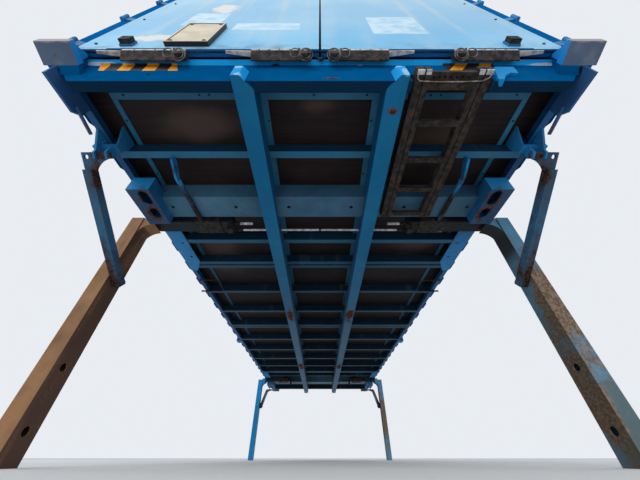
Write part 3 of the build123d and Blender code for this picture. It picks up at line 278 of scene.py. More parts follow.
@dataclass(frozen=True)
class Paint:
    """Painted steel that has faded, got dirty and rusted.

    Top, foot, inner and rear are tones of the faces that look up, down, across the body and to the rear;
    on the sill, rails, fittings and underframe they are painted light and shade, and on the blocks the inner
    tone is the paint of their inner sides. Slope is a tone between two heights, a painted highlight on the
    sill's slope. Shadow and dust grow towards the front. Patches are rusty places, and on the operating rods
    and the sill's end plates painted shade. Scrapes are patches of the pale tone: worn places, pale spots on
    the rail noses, and painted highlights on the sill's slope. Blur is how softly rust ends, and the three
    rust tones are dark, middle and light; on the rods and the sill's end plates they also colour that
    painted shade. A last tint goes over the faces that look across the body or down.
    """

    name: str
    colour: str
    deep: str
    faded: str = "3f8fb4"
    fade: float = 0.2
    rust: float = 0.1
    dirt: float = 0.3
    streak: float = 0.0
    patches: tuple[Patch, ...] = ()
    top: str = ""
    foot: str = ""
    inner: str = ""
    rear: str = ""
    oxide_and_shade: tuple[str, str, str] = ("2a1a13", "6b3d22", "94602f")
    gloss: float = 0.12
    scrapes: tuple[Patch, ...] = ()
    pale: str = "bfcbd2"
    slope: tuple[float, float, str] = (0.0, 0.0, "")
    shadow: float = 0.0
    dust: float = 0.0
    blur: float = 0.07
    side_tint: str = ""

    def shade(self) -> Material:
        """Build the material.

        The paint runs between two tones in wide clouds, with tones of its own where the surface faces up,
        down, across the body or to the rear, which on the sill, rails, fittings and underframe are painted
        light and shade. Fading follows upright streaks, dirt gathers in middle-sized clouds, and rust breaks
        out where two noises are high together, or in a patch; the patches on the operating rods and the sill's
        end plates are painted shade. A tint lies over the paint and rust of the faces that look across the
        body or down, more at both ends of a leg.

        Returns:
            The material.
        """
        graph = Graph(self.name)
        wide = graph.noise(1.7, 3.0)
        middle = graph.noise(11.0, 6.0, shift=4.0)
        fine = graph.noise(70.0, 5.0, shift=9.0)
        grain = graph.noise(420.0, 2.0, shift=2.0)
        runs = graph.noise(14.0, 4.0, (1.0, 1.0, 0.08), 7.0)
        paint = graph.blend((wide * 0.7 + middle * 0.3).ramp(0.35, 0.65), tint(self.deep), tint(self.colour))
        # Facing tones: painted light and shade on the sill, rails, fittings and underframe; the blocks' inner
        # tone is their paint.
        side, ahead, up = graph.facing()
        for code, share in ((self.top, up.ramp(0.25, 0.45)), (self.foot, up.ramp(-0.55, -0.85)),
                            (self.inner, side.size().ramp(0.6, 0.8)), (self.rear, ahead.ramp(-0.3, -0.5))):
            if code:
                paint = graph.blend(share * 0.92, paint, tint(code))
        _, along, height = graph.axes()
        # Slope tone: a painted highlight on the sill's slope.
        low, high, code = self.slope
        if code:
            between = height.ramp(low, low + 0.001) * height.ramp(high, high - 0.001)
            paint = graph.blend(between, paint, tint(code))
        if self.shadow > 0:
            paint = graph.blend(along.ramp(*SHADOW_SPAN) * self.shadow, paint, tint("0b1116"))
        if self.dust > 0:
            paint = graph.blend(along.ramp(*DUST_SPAN) * self.dust, paint, tint("66747c"))
        # Scrapes: worn places, and painted highlights on the sill's slope.
        for patch in self.scrapes:
            paint = graph.blend(graph.spot(patch.centre, patch.reach, middle) * 0.85, paint, tint(self.pale))
        worn = (wide * 0.35 + runs * 0.65).ramp(0.62 - 0.3 * self.fade, 0.85 - 0.3 * self.fade)
        paint = graph.blend(worn * min(1.0, self.fade + 0.25), paint, tint(self.faded))
        soil = (middle * 0.6 + runs * 0.4).ramp(0.5, 0.75) * self.dirt
        paint = graph.blend(soil, paint, tint("3b3a38"))
        edge = 0.76 - 0.42 * self.rust
        rust = (middle * 0.55 + fine * 0.45).ramp(edge, edge + self.blur)
        if self.streak > 0:
            drip = (runs * 0.6 + wide * 0.4).ramp(0.72 - 0.35 * self.streak, 0.84 - 0.2 * self.streak)
            rust = rust.most(drip * (fine.ramp(0.35, 0.6) * 0.5 + 0.5))
        # Patches: rust, and painted shade on the operating rods and the sill's end plates.
        for patch in self.patches:
            rust = rust.most(graph.spot(patch.centre, patch.reach, middle, 0.7))
        dark, warm, pale = (tint(code) for code in self.oxide_and_shade)
        oxide_and_shade = graph.blend(fine.ramp(0.38, 0.64), dark, warm)
        oxide_and_shade = graph.blend(grain.ramp(0.58, 0.8) * 0.5, oxide_and_shade, pale)
        colour = graph.blend(rust, paint, oxide_and_shade)
        # A tint over the faces that look across the body or down, stronger at both ends of a leg.
        if self.side_tint:
            tinted = height.ramp(*LOW_SIDE_TINT) * 0.3 + height.ramp(*HIGH_SIDE_TINT) * 0.5 + 0.42
            tinted = (side.size() - up).ramp(0.6, 0.85) * tinted
            colour = graph.blend(tinted, colour, tint(self.side_tint))
        rough = grain * 0.12 + middle * 0.18 + rust * 0.35 + 0.26
        relief = grain * 0.12 + middle * 0.35 + rust * fine * 0.9
        return graph.surface(colour, rough, 0.0, relief, 0.0009, self.gloss)


@dataclass(frozen=True)
class Steel:
    """Bare steel with grease, rust and bright worn places."""

    name: str
    dark: str
    light: str
    bright: float
    rust: float
    strip: float = 0.0

    def shade(self) -> Material:
        """Build the material from two tones, a rust cloud, bright scrapes and a pale strip above a height.

        Returns:
            The material.
        """
        graph = Graph(self.name)
        wide = graph.noise(6.0, 4.0)
        fine = graph.noise(38.0, 7.0, shift=3.0)
        scrape = graph.noise(55.0, 3.0, (0.25, 1.0, 1.0), 8.0)
        base = graph.blend(fine.ramp(0.35, 0.68), tint(self.dark), tint(self.light))
        rust = (wide * 0.6 + fine * 0.4).ramp(0.68 - 0.35 * self.rust, 0.84 - 0.3 * self.rust)
        base = graph.blend(rust * 0.8, base, tint("5b3420"))
        # The strip above a height is the levers' pale steel with a painted highlight.
        if self.strip > 0:
            above = graph.axes()[2].ramp(self.strip, self.strip + 0.003)
            pale_and_highlight = above * (0.55 + fine.ramp(0.35, 0.6) * 0.45)
            base = graph.blend(pale_and_highlight, base, tint("c9c6c1"))
        shine = scrape.ramp(0.8 - 0.35 * self.bright, 0.86 - 0.25 * self.bright)
        colour = graph.blend(shine, base, tint("c9c3ba"))
        rough = 0.68 - shine * 0.3 + fine * 0.15
        return graph.surface(colour, rough, shine * 0.6 + 0.08, fine * 0.6 + wide * 0.4, 0.0012)


@dataclass(frozen=True)
class Boards:
    """Film-faced plywood seen from below: dark, with grain, stains and lighter scuffs."""

    name: str = "dark_plywood"
    stains: tuple[tuple[Triple, Triple], ...] = (
        ((-0.90, -2.20, 1.52), (0.35, 0.55, 0.05)),
        ((-0.01, -3.425, 1.52), (0.15, 0.06, 0.05)),
        ((-0.70, -3.31, 1.52), (0.30, 0.15, 0.05)),
        ((0.72, -3.20, 1.52), (0.30, 0.20, 0.05)),
        ((-0.75, -1.95, 1.52), (0.40, 0.16, 0.05)),
        ((0.80, -2.30, 1.52), (0.45, 0.20, 0.05)),
        ((0.70, -1.95, 1.52), (0.40, 0.14, 0.05)),
    )

    def shade(self) -> Material:
        """Build the material from long grain, stains and scuffs.

        Returns:
            The material.
        """
        graph = Graph(self.name)
        grain = graph.noise(60.0, 6.0, (0.05, 1.0, 1.0))
        stain = graph.noise(2.6, 5.0, shift=5.0)
        speck = graph.noise(130.0, 3.0, shift=1.0)
        base = graph.blend(grain.ramp(0.35, 0.7), tint("150c0d"), tint("241616"))
        base = graph.blend(stain.ramp(0.5, 0.74) * 0.6, base, tint("30221f"))
        # Painted shade: darker towards the front, deep under the body.
        base = graph.blend(graph.axes()[1].ramp(-3.1, -1.9) * 0.55, base, tint("070607"))
        for centre, reach in self.stains:
            base = graph.blend(graph.spot(centre, reach, stain, 0.95) * 0.65, base, tint("54423a"))
        scuff = (stain * 0.5 + speck * 0.5).ramp(0.62, 0.74)
        base = graph.blend(scuff * 0.3, base, tint("5c4b42"))
        return graph.surface(base, 0.5 + speck * 0.25, 0.0, grain * 0.7 + speck * 0.3, 0.0006)


@dataclass(frozen=True)
class Rubber:
    """Black rubber gone grey, with fine cracks."""

    name: str = "aged_rubber"

    def shade(self) -> Material:
        """Build the material from a grey bloom and fine grain.

        Returns:
            The material.
        """
        graph = Graph(self.name)
        bloom = graph.noise(18.0, 5.0)
        grain = graph.noise(300.0, 3.0, shift=2.0)
        colour = graph.blend(bloom.ramp(0.4, 0.72), tint("141414"), tint("3a3936"))
        return graph.surface(colour, 0.72 + grain * 0.15, 0.0, grain * 0.6 + bloom * 0.4, 0.0005)


@dataclass(frozen=True)
class Enamel:
    """The blank cream plate on its dark holder."""

    name: str = "cream_enamel"

    def shade(self) -> Material:
        """Build the material: cream on what faces the rear, near black on the sides.

        Returns:
            The material.
        """
        graph = Graph(self.name)
        cloud = graph.noise(9.0, 5.0)
        grain = graph.noise(180.0, 4.0, shift=6.0)
        cream = graph.blend(cloud.ramp(0.35, 0.7), tint("bfb49b"), tint("d6ccb6"))
        cream = graph.blend((cloud * 0.5 + grain * 0.5).ramp(0.58, 0.7) * 0.8, cream, tint("8c7a60"))
        black = graph.blend(grain, tint("121315"), tint("2c2d2e"))
        colour = graph.blend(graph.facing()[1].ramp(-0.5, -0.7), black, cream)
        return graph.surface(colour, grain * 0.2 + 0.35, 0.0, grain * 0.5 + cloud * 0.5, 0.0004)


@dataclass(frozen=True)
class Stripes:
    """Warning tape: slanting orange and black bands, scuffed."""

    name: str
    lean: float
    shift: float
    pitch: float = 0.122

    def shade(self) -> Material:
        """Build the material: the bands follow x less a share of z, and scuffs show the paint below.

        Returns:
            The material.
        """
        graph = Graph(self.name)
        x, _, z = graph.axes()
        grain = graph.noise(160.0, 5.0)
        cloud = graph.noise(14.0, 5.0, shift=3.0)
        band = ((x - z * self.lean - self.shift) / self.pitch + 20.0).wrap()
        orange = (band - 0.5).size().ramp(0.255, 0.245)
        warm = graph.blend(cloud.ramp(0.35, 0.7), tint("d98a12"), tint("f2a41c"))
        black = graph.blend(grain, tint("15161a"), tint("2c2d30"))
        colour = graph.blend(orange, black, warm)
        scuff = (cloud * 0.5 + grain * 0.5).ramp(0.62, 0.7)
        colour = graph.blend(scuff * 0.6, colour, tint("5d6a70"))
        return graph.surface(colour, grain * 0.2 + 0.38, 0.0, grain, 0.0003)


@dataclass(frozen=True)
class DoorPaint:
    """Sky-blue door paint, chalked in upright runs, with blank paler fields where films were taken off."""

    name: str = "faded_door_paint"
    fields: tuple[tuple[float, float, float, float], ...] = (
        (-0.86, -0.62, 2.06, 2.42),
        (0.30, 0.62, 1.86, 2.30),
        (-0.52, -0.12, 1.95, 2.12),
    )
    field_edge: float = 0.004
    scrapes: tuple[Patch, ...] = (
        Patch((-0.87, -3.668, 1.78), (0.17, 0.05, 0.07)),
        Patch((-0.70, -3.668, 2.6), (0.10, 0.05, 0.2)),
    )

    def shade(self) -> Material:
        """Build the material: two blues by wide clouds, chalk in runs, paler fields, and dirt at the foot.

        Returns:
            The material.
        """
        graph = Graph(self.name)
        x, _, z = graph.axes()
        wide = graph.noise(1.1, 4.0)
        runs = graph.noise(9.0, 5.0, (1.0, 1.0, 0.05), 4.0)
        middle = graph.noise(13.0, 6.0, shift=8.0)
        grain = graph.noise(260.0, 4.0, shift=2.0)
        base = graph.blend(wide.ramp(0.36, 0.64), tint("6db3dc"), tint("86c2e3"))
        chalk = (runs * 0.7 + wide * 0.3).ramp(0.46, 0.66) * 0.45 + z.ramp(1.66, 2.3) * 0.3
        base = graph.blend(chalk, base, tint("b9cad3"))
        outside = graph.facing()[1].ramp(-0.2, -0.5)
        for patch in self.scrapes:
            bare = graph.spot(patch.centre, patch.reach, middle) * outside
            base = graph.blend(bare * 0.9, base, tint("dcd8d0"))
        for left, right, low, high in self.fields:
            inside = outside
            for place, start, end in ((x, left, right), (z, low, high)):
                half = (end - start) / 2
                inside = inside * (place - (start + half)).size().ramp(half, half - self.field_edge)
            base = graph.blend(inside * (middle.ramp(0.3, 0.62) * 0.6 + 0.3), base, tint("c8dfec"))
        foot = z.ramp(1.72, 1.565)
        base = graph.blend(foot * middle.ramp(0.4, 0.7) * 0.45, base, tint("5b6f7c"))
        rust = (middle * 0.5 + grain * 0.5 + foot * 0.05).ramp(0.66, 0.71)
        base = graph.blend(rust, base, tint("6b4630"))
        # Painted shade on faces that look down: deep blue below 1.58 m, brighter blue above.
        down = graph.facing()[2].ramp(-0.5, -0.9)
        under = graph.blend(z.ramp(1.58, 1.59), tint("0b5f9e"), tint("2f9fdc"))
        base = graph.blend(down, base, under)
        rough = grain * 0.14 + runs * 0.12 + 0.34
        return graph.surface(base, rough, 0.0, grain * 0.2 + middle * 0.8, 0.0007, 0.14)


# Surfaces

@dataclass
class Shape:
    """Vertices and faces of a mesh under construction."""

    points: np.ndarray
    faces: list[list[int]]

    def __add__(self, other: "Shape") -> "Shape":
        """Both shapes in one mesh.

        Args:
            other: The shape whose points and faces follow.

        Returns:
            The shape of both.
        """
        start = len(self.points)
        moved = [[i + start for i in face] for face in other.faces]
        return Shape(np.vstack([self.points, other.points]), self.faces + moved)

    def at(self, place: Triple) -> "Shape":
        """The shape moved by a distance along each axis."""
        return Shape(self.points + np.array(place), self.faces)

    def flipped(self) -> "Shape":
        """The mirror image on the other side of the body, with its faces turned back outwards."""
        return Shape(self.points * np.array([-1.0, 1.0, 1.0]), [face[::-1] for face in self.faces])

    def repeated(self, places: list[Triple]) -> "Shape":
        """Copies of the shape.

        Args:
            places: How far each copy is moved along the three axes.

        Returns:
            All copies in one shape.
        """
        count = len(self.points)
        spread = (np.array(places)[:, None, :] + self.points[None]).reshape(-1, 3)
        faces = [[i + k * count for i in face] for k in range(len(places)) for face in self.faces]
        return Shape(spread, faces)


def joined(shapes: list[Shape]) -> Shape:
    """Several shapes in one mesh."""
    return sum(shapes[1:], shapes[0])


def tube_grid(rows: np.ndarray, closed: bool = False) -> Shape:
    """A skin over rings of points, with flat ends unless the row of rings is closed.

    Args:
        rows: Rings of points, as an array of ring, point and axis.
        closed: Whether the last ring joins the first.

    Returns:
        The skin: each face joins two neighbours of one ring to the same two of the next.
    """
    rings, sides = rows.shape[:2]
    ring, side = np.meshgrid(np.arange(rings if closed else rings - 1), np.arange(sides), indexing="ij")
    after, beside = (ring + 1) % rings, (side + 1) % sides
    quads = np.stack([ring * sides + side, ring * sides + beside, after * sides + beside,
                      after * sides + side], axis=-1).reshape(-1, 4).tolist()
    if not closed:
        quads.append(list(range(sides))[::-1])
        quads.append(list(range((rings - 1) * sides, rings * sides)))
    return Shape(rows.reshape(-1, 3), quads)


def carried(path: np.ndarray, radius: float, sides: int = BEND_SIDES, closed: bool = False) -> Shape:
    """A round bar along a path: at each point a circle square to the path's direction there.

    Args:
        path: The points of the middle line.
        radius: The bar's radius.
        sides: Points on each circle.
        closed: Whether the bar is a ring.

    Returns:
        The bar.
    """
    if closed:
        ahead = np.roll(path, -1, axis=0) - np.roll(path, 1, axis=0)
    else:
        ahead = np.gradient(path, axis=0)
    ahead = ahead / np.linalg.norm(ahead, axis=1, keepdims=True)
    spread = np.ptp(path, axis=0)
    helper = np.eye(3)[int(np.argmin(spread))]
    first = np.cross(ahead, helper)
    first = first / np.linalg.norm(first, axis=1, keepdims=True)
    second = np.cross(ahead, first)
    turn = np.linspace(0.0, 2 * pi, sides, endpoint=False)
    circle = first[:, None] * np.cos(turn)[None, :, None] + second[:, None] * np.sin(turn)[None, :, None]
    return tube_grid(path[:, None] + radius * circle, closed)


def ring_path(width: float, height: float, points: int) -> np.ndarray:
    """An upright ellipse across the body: x follows the cosine of a turn, and z its sine.

    Args:
        width: Half its size along x.
        height: Half its size along z.
        points: How many points it has.

    Returns:
        The points.
    """
    turn = np.linspace(0.0, 2 * pi, points, endpoint=False)
    return np.stack([np.cos(turn) * width, np.zeros(points), np.sin(turn) * height], axis=1)


def turned(profile: Outline, axis: int, sides: int) -> Shape:
    """A turned form: each radius of the profile makes a circle at its height against the axis.

    Args:
        profile: Radius of each circle, and its height towards the axis's low end.
        axis: Number of the axis it stands on.
        sides: Points on each circle.

    Returns:
        The form.
    """
    outline = np.array(profile)
    turn = np.linspace(0.0, 2 * pi, sides, endpoint=False)
    rows = np.zeros((len(profile), sides, 3))
    rows[..., (axis + 1) % 3] = outline[:, :1] * np.cos(turn)
    rows[..., (axis + 2) % 3] = outline[:, :1] * np.sin(turn)
    rows[..., axis] = -outline[:, 1:]
    return tube_grid(rows)


def extruded(outline: Outline, axis: int, start: float, end: float) -> Shape:
    """A prism: the same flat outline at two places along an axis.

    Args:
        outline: Corners on the two axes that follow the given one.
        axis: Number of the axis it runs along.
        start: Where it starts.
        end: Where it ends.

    Returns:
        The prism.
    """
    rows = np.zeros((2, len(outline), 3))
    rows[..., (axis + 1) % 3] = [point[0] for point in outline]
    rows[..., (axis + 2) % 3] = [point[1] for point in outline]
    rows[0, :, axis] = start
    rows[1, :, axis] = end
    return tube_grid(rows)


def slab(low: Triple, high: Triple, round_off: float) -> Shape:
    """A block with rounded upright edges and softened ends.

    Args:
        low: Its lowest corner.
        high: Its highest corner.
        round_off: Radius of the edges.

    Returns:
        The block: four shrunken and full outlines, one above the other, each a rounded rectangle.
    """
    base, top = np.array(low), np.array(high)
    half, middle = (top - base) / 2, (top + base) / 2
    r = min(round_off, half[0] * 0.9, half[1] * 0.9, half[2] * 0.9)
    turn = np.linspace(0.0, 2 * pi, 16, endpoint=False) + pi / 16
    corner = np.sign(np.stack([np.cos(turn), np.sin(turn)], axis=1)) * (half[:2] - r)
    round_part = np.stack([np.cos(turn), np.sin(turn)], axis=1) * r
    shoulder = half[2] - r * 0.65
    levels = np.array([[0.35, -half[2]], [1.0, -shoulder], [1.0, shoulder], [0.35, half[2]]])
    flat = corner[None] + round_part[None] * levels[:, :1, None]
    rows = np.concatenate([flat, np.broadcast_to(levels[:, 1][:, None, None], (4, 16, 1))], axis=2)
    return tube_grid(rows + middle)


def piece(name: str, shape: Shape, material: Material, body: Body) -> None:
    """Make an object from a shape and let it ride on a body.

    Args:
        name: The piece's name.
        shape: Its mesh.
        material: Its finish.
        body: What it rides on.
    """
    mesh = bpy.data.meshes.new(name)
    mesh.from_pydata(shape.points.tolist(), [], shape.faces)
    work = bmesh.new()
    work.from_mesh(mesh)
    bmesh.ops.remove_doubles(work, verts=work.verts, dist=MERGE_WITHIN)
    bmesh.ops.recalc_face_normals(work, faces=work.faces)
    work.to_mesh(mesh)
    work.free()
    mesh.materials.append(material)
    mesh.polygons.foreach_set("use_smooth", np.ones(len(mesh.polygons), bool))
    mesh.set_sharp_from_angle(angle=SMOOTH_BELOW)
    thing = bpy.data.objects.new(name, mesh)
    bpy.context.scene.collection.objects.link(thing)
    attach(thing, body.value)
    LOG.info("%s: %d faces on %s", name, len(mesh.polygons), body.value)


# Sub-assemblies

@dataclass
class Coats:
    """The finishes of the CAD nodes."""

    rail_patches: tuple[Patch, ...] = (
        *mirrored(Patch((0.345, -1.12, 1.32), (0.06, 0.22, 0.05)),
                  Patch((0.345, 1.08, 1.32), (0.06, 0.28, 0.05))),
        Patch((0.354, -3.474, 1.32), (0.034, 0.026, 0.02)),
    )
    # Pale light-blue spots on the rear ends of the guide rails.
    nose_pale_spots: tuple[Patch, ...] = (
        Patch((-0.380, -3.633, 1.425), (0.030, 0.012, 0.020)),
        Patch((-0.366, -3.633, 1.335), (0.022, 0.012, 0.018)),
        Patch((0.385, -3.633, 1.360), (0.018, 0.012, 0.050)),
        Patch((0.365, -3.633, 1.432), (0.022, 0.012, 0.012)),
    )
    sill_patches: tuple[Patch, ...] = (
        Patch((0.047, -3.609, 1.357), (0.05, 0.02, 0.012)),
        Patch((-0.222, -3.612, 1.531), (0.035, 0.02, 0.008)),
    )
    # Painted highlights on the sill's slope.
    slope_highlights: tuple[Patch, ...] = (
        Patch((-1.085, -3.615, 1.5345), (0.085, 0.03, 0.010)),
        Patch((1.096, -3.615, 1.5325), (0.080, 0.03, 0.007)),
        Patch((0.20, -3.609, 1.528), (0.02, 0.01, 0.006)),
    )
    leg_patches: tuple[Patch, ...] = (
        Patch((1.37, -2.66, 0.74), (0.30, 0.10, 0.52)),
        Patch((1.31, -2.60, 0.30), (0.03, 0.14, 0.36)),
        Patch((1.36, 2.60, 0.70), (0.40, 0.40, 0.62)),
    )
    foot_scrapes: tuple[Patch, ...] = (
        Patch((1.39, -2.66, 0.16), (0.35, 0.10, 0.24)),
    )
    bar_patches: tuple[Patch, ...] = mirrored(Patch((1.218, -3.385, 1.335), (0.03, 0.06, 0.03)))
    # Painted shade where the operating rods run in under the body.
    rod_shade_patches: tuple[Patch, ...] = mirrored(Patch((0.88, -2.78, 1.38), (0.14, 0.40, 0.12)))
    block_scrapes: tuple[Patch, ...] = mirrored(Patch((1.21, -3.725, 1.50), (0.12, 0.012, 0.07)))
    slot_reach: Triple = (0.060, 0.100, 0.09)
    slot_in: float = 0.0905
    slots_ahead: tuple[float, float] = (0.0735, 0.2095)
    nodes: dict[str, tuple[str, ...]] = field(default_factory=lambda: {
        "rail": ("guide_rail_left", "guide_rail_right"),
        "sill": ("rear_sill",),
        "under": ("cross_members", "front_sill"),
        "carrier": ("leg_carriers_rear", "leg_carriers_front"),
        "beam": ("wide_beam_rear", "wide_beam_front"),
        "side": ("side_rail_left", "side_rail_right"),
        "post": ("rear_posts", "front_posts", "rear_header", "front_header", "top_rails"),
        "wall": ("side_wall_left", "side_wall_right", "front_wall", "roof"),
        "fitting": ("corner_fittings_rear", "corner_fittings_front"),
        "corner": ("corner_gussets",),
        "bracket": ("strut_brackets_rear", "strut_brackets_front", "grapple_plates", "leg_keepers"),
        "hook": ("sill_hook",),
        "block": ("corner_blocks",),
        "strut": ("strut_rear_left", "strut_rear_right", "strut_front_left", "strut_front_right"),
        "leg_rusty": ("leg_rear_left",),
        "leg_worn": ("leg_rear_right", "leg_front_right"),
        "leg_blue": ("leg_front_left",),
        "lock": ("door_locks_left", "door_locks_right"),
        "hinge": ("door_hinges_left", "door_hinges_right", "post_hinges"),
        "gear": ("leg_locks_rear", "leg_locks_front", "leg_rests"),
        "rod": ("operating_rods",),
        "ladder": ("ladder", "ladder_guides"),
        "boards": ("floor_boards",),
        "bearer": ("floor_bearers",),
        "rubber": ("door_buffer_left", "door_buffer_right"),
        "door": ("door_left", "door_right"),
        "plate": ("document_plate",),
    })
    made: dict[str, Material] = field(default_factory=dict)

    def slot_patches(self) -> tuple[Patch, ...]:
        """Rust round and in the openings in the undersides of the rear fittings.

        Returns:
            A patch at each opening.
        """
        low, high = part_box("corner_fittings_rear")
        return mirrored(*(Patch((high.x - self.slot_in, low.y + ahead, low.z), self.slot_reach)
                          for ahead in self.slots_ahead))

    def strut_patches(self) -> tuple[Patch, ...]:
        """Rust at the lower end of every strut and along the inner curve of its head plate.

        Returns:
            Three patches on each strut, in front as at the rear.
        """
        low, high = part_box("strut_rear_right")
        foot = (high.x - 0.02, high.y - 0.06, low.z + 0.06)
        head = (high.x - 0.07, low.y + 0.105, high.z - 0.075)
        tail = (low.x + 0.045, low.y + 0.02, high.z - 0.02)
        places = [(foot, (0.07, 0.34, 0.24)), (head, (0.045, 0.13, 0.10)), (tail, (0.07, 0.035, 0.03))]
        return mirrored(*(Patch((x, end * y, z), reach) for (x, y, z), reach in places for end in (-1, 1)))

    def build(self) -> None:
        """Make every finish and give it to its nodes."""
        finishes = {
            # Rails: the rear tone is a painted highlight on the rear ends, the inner tone painted shade.
            "rail": Paint("rail_paint", "1f76a2", "186590", "3d8fb8", rust=0.16, dirt=0.3, rear="0c96dc",
                          inner="164a70", patches=self.rail_patches, scrapes=self.nose_pale_spots,
                          pale="93c4e2", gloss=0.03, dust=0.5),
            # Sill: the top and slope tones and the scrapes are painted highlights, the foot tone painted
            # shade.
            "sill": Paint("sill_paint", "00558c", "004a7c", "0f6c9e", 0.05, 0.05, 0.12, top="2a9bd0",
                          foot="12283a", patches=self.sill_patches, scrapes=self.slope_highlights,
                          slope=(1.529, 1.556, "1b9ade"), gloss=0.0),
            # Underframe: the foot, rear and inner tones and the shadow are painted shade.
            "under": Paint("underframe_paint", "377ba0", "2b6484", "5a8ba3", 0.2, 0.16, 0.4, foot="2f6b8c",
                           rear="163a52", inner="12202a", shadow=0.62),
            "carrier": Paint("carrier_paint", "1d2830", "16191c", "3a4650", 0.2, 0.4, 0.6),
            "beam": Paint("wide_beam_paint", "46708a", "335670", "5f8093", 0.3, 0.18, 0.45),
            "side": Paint("side_paint", "1f5f90", "1a4b75", rust=0.14),
            "post": Paint("post_paint", "075f9e", "055590", "1c74a8", 0.0, 0.1, 0.12, gloss=0.0),
            "wall": Paint("wall_paint", "2a83c0", "1f6da8", "7fb6d6", 0.35, 0.05, 0.35, 0.15),
            # Fittings: the rear tone is painted light and the foot tone painted shade.
            "fitting": Paint("fitting_paint", "1f6698", "1a4f78", rust=0.2, dirt=0.35, foot="34506e",
                             rear="2590cf", patches=self.slot_patches()),
            "corner": Paint("corner_paint", "34608f", "2a4f7d", fade=0.1, rust=0.2, dirt=0.3,
                            scrapes=self.bar_patches, pale="453f47"),
            "bracket": Paint("bracket_paint", "2c86c4", "246a98", fade=0.15, rust=0.24, dirt=0.3),
            "hook": Paint("hook_paint", "1690d2", "107cba", rust=0.1, dirt=0.1, gloss=0.05),
            "block": Paint("block_wear", "5a6d84", "4c5a70", "818994", 0.4, 0.3, 0.3, 0.25,
                           inner="0d86d2", scrapes=self.block_scrapes, pale="a09698"),
            "strut": Paint("strut_paint", "2f6589", "37434f", "6f7f8a", 0.3, 0.58, 0.4, 0.45,
                           patches=self.strut_patches(), oxide_and_shade=("241a1a", "4c342c", "6e4a38"), blur=0.16),
            # Rods: the patches and their dark rust tones are painted shade.
            "rod": Paint("rod_paint", "2187c0", "1b6c9c", rust=0.3, dirt=0.4, patches=self.rod_shade_patches,
                         oxide_and_shade=("1d1716", "3b2c26", "57402f")),
            "leg_rusty": Paint("leg_rust", "9c7655", "70563f", "8f8473", 0.3, 0.5, 0.35, 0.55,
                               inner="4b3a34", gloss=0.04, oxide_and_shade=("4a3022", "85593a", "b5834f"), blur=0.22),
            "leg_worn": Paint("leg_worn_paint", "6a9fc2", "5487a2", "8a9694", 0.35, 0.56, 0.35, 0.35,
                              patches=self.leg_patches, gloss=0.04, oxide_and_shade=("66574b", "8f7a68", "a58b72"),
                              scrapes=self.foot_scrapes, pale="596664", blur=0.24, side_tint="2c251a"),
            "leg_blue": Paint("leg_paint", "1f84bc", "1b74a6", "6f8f9c", 0.3, 0.24, 0.3, 0.2, gloss=0.03),
            # Locks: the pale strip is the levers' pale steel with a painted highlight.
            "lock": Steel("lock_steel", "1b1718", "443d3c", 0.3, 0.42, 1.5445),
            "hinge": Paint("hinge_paint", "2c80ba", "215f8c", rust=0.2, dirt=0.2),
            "gear": Steel("gear_steel", "191716", "39332f", 0.25, 0.4),
            "ladder": Steel("ladder_steel", "1c1816", "3d352f", 0.15, 0.35),
            "boards": Boards(),
            "bearer": Paint("bearer_paint", "35779a", "2b6484", "558aa2", 0.2, 0.1, 0.3, shadow=0.5),
            "rubber": Rubber(),
            "door": DoorPaint(),
            "plate": Enamel(),
        }
        for key, finish in finishes.items():
            self.made[key] = finish.shade()
            for node in self.nodes[key]:
                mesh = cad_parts[node].data
                mesh.materials.clear()
                mesh.materials.append(self.made[key])
        dressed = {node for names in self.nodes.values() for node in names}
        LOG.info("nodes without a finish: %s", sorted(set(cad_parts) - dressed))


@dataclass
class HazardTape:
    """Warning tape on the upper part of the sill's face, left and right."""

    # Side, start, end, lean of the bands, shift of the bands, slant of the ends.
    spans: tuple[tuple[str, float, float, float, float, float], ...] = (
        ("left", -1.076, -0.696, -0.10, -0.005, 0.38),
        ("right", 0.610, 0.862, 0.65, 0.009, 0.0),
    )
    face_in: float = 0.019
    low: float = 0.133
    fold: float = 0.2107
    over: tuple[float, float] = (0.0066, 0.0062)
    thick: float = 0.0007

    def build(self) -> None:
        """Lay both strips on the sill: an outline along x, whose ends are cut aslant by a share of z."""
        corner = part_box("rear_sill")[0]
        face = corner.y + self.face_in
        bottom, fold = corner.z + self.low, corner.z + self.fold
        tip = (face - self.over[0], fold + self.over[1])
        outline = ((face, bottom), (face, fold), tip, (tip[0] - self.thick, tip[1] - self.thick),
                   (face - self.thick, fold - self.thick / 2), (face - self.thick, bottom))
        middle = (bottom + fold) / 2
        for side, start, end, lean, shift, skew in self.spans:
            material = Stripes(f"warning_bands_{side}", lean, shift).shade()
            shape = extruded(outline, 0, start, end)
            shape.points[:, 0] -= skew * (shape.points[:, 2] - middle)
            piece(f"hazard_tape_{side}", shape, material, Body.FRAME)


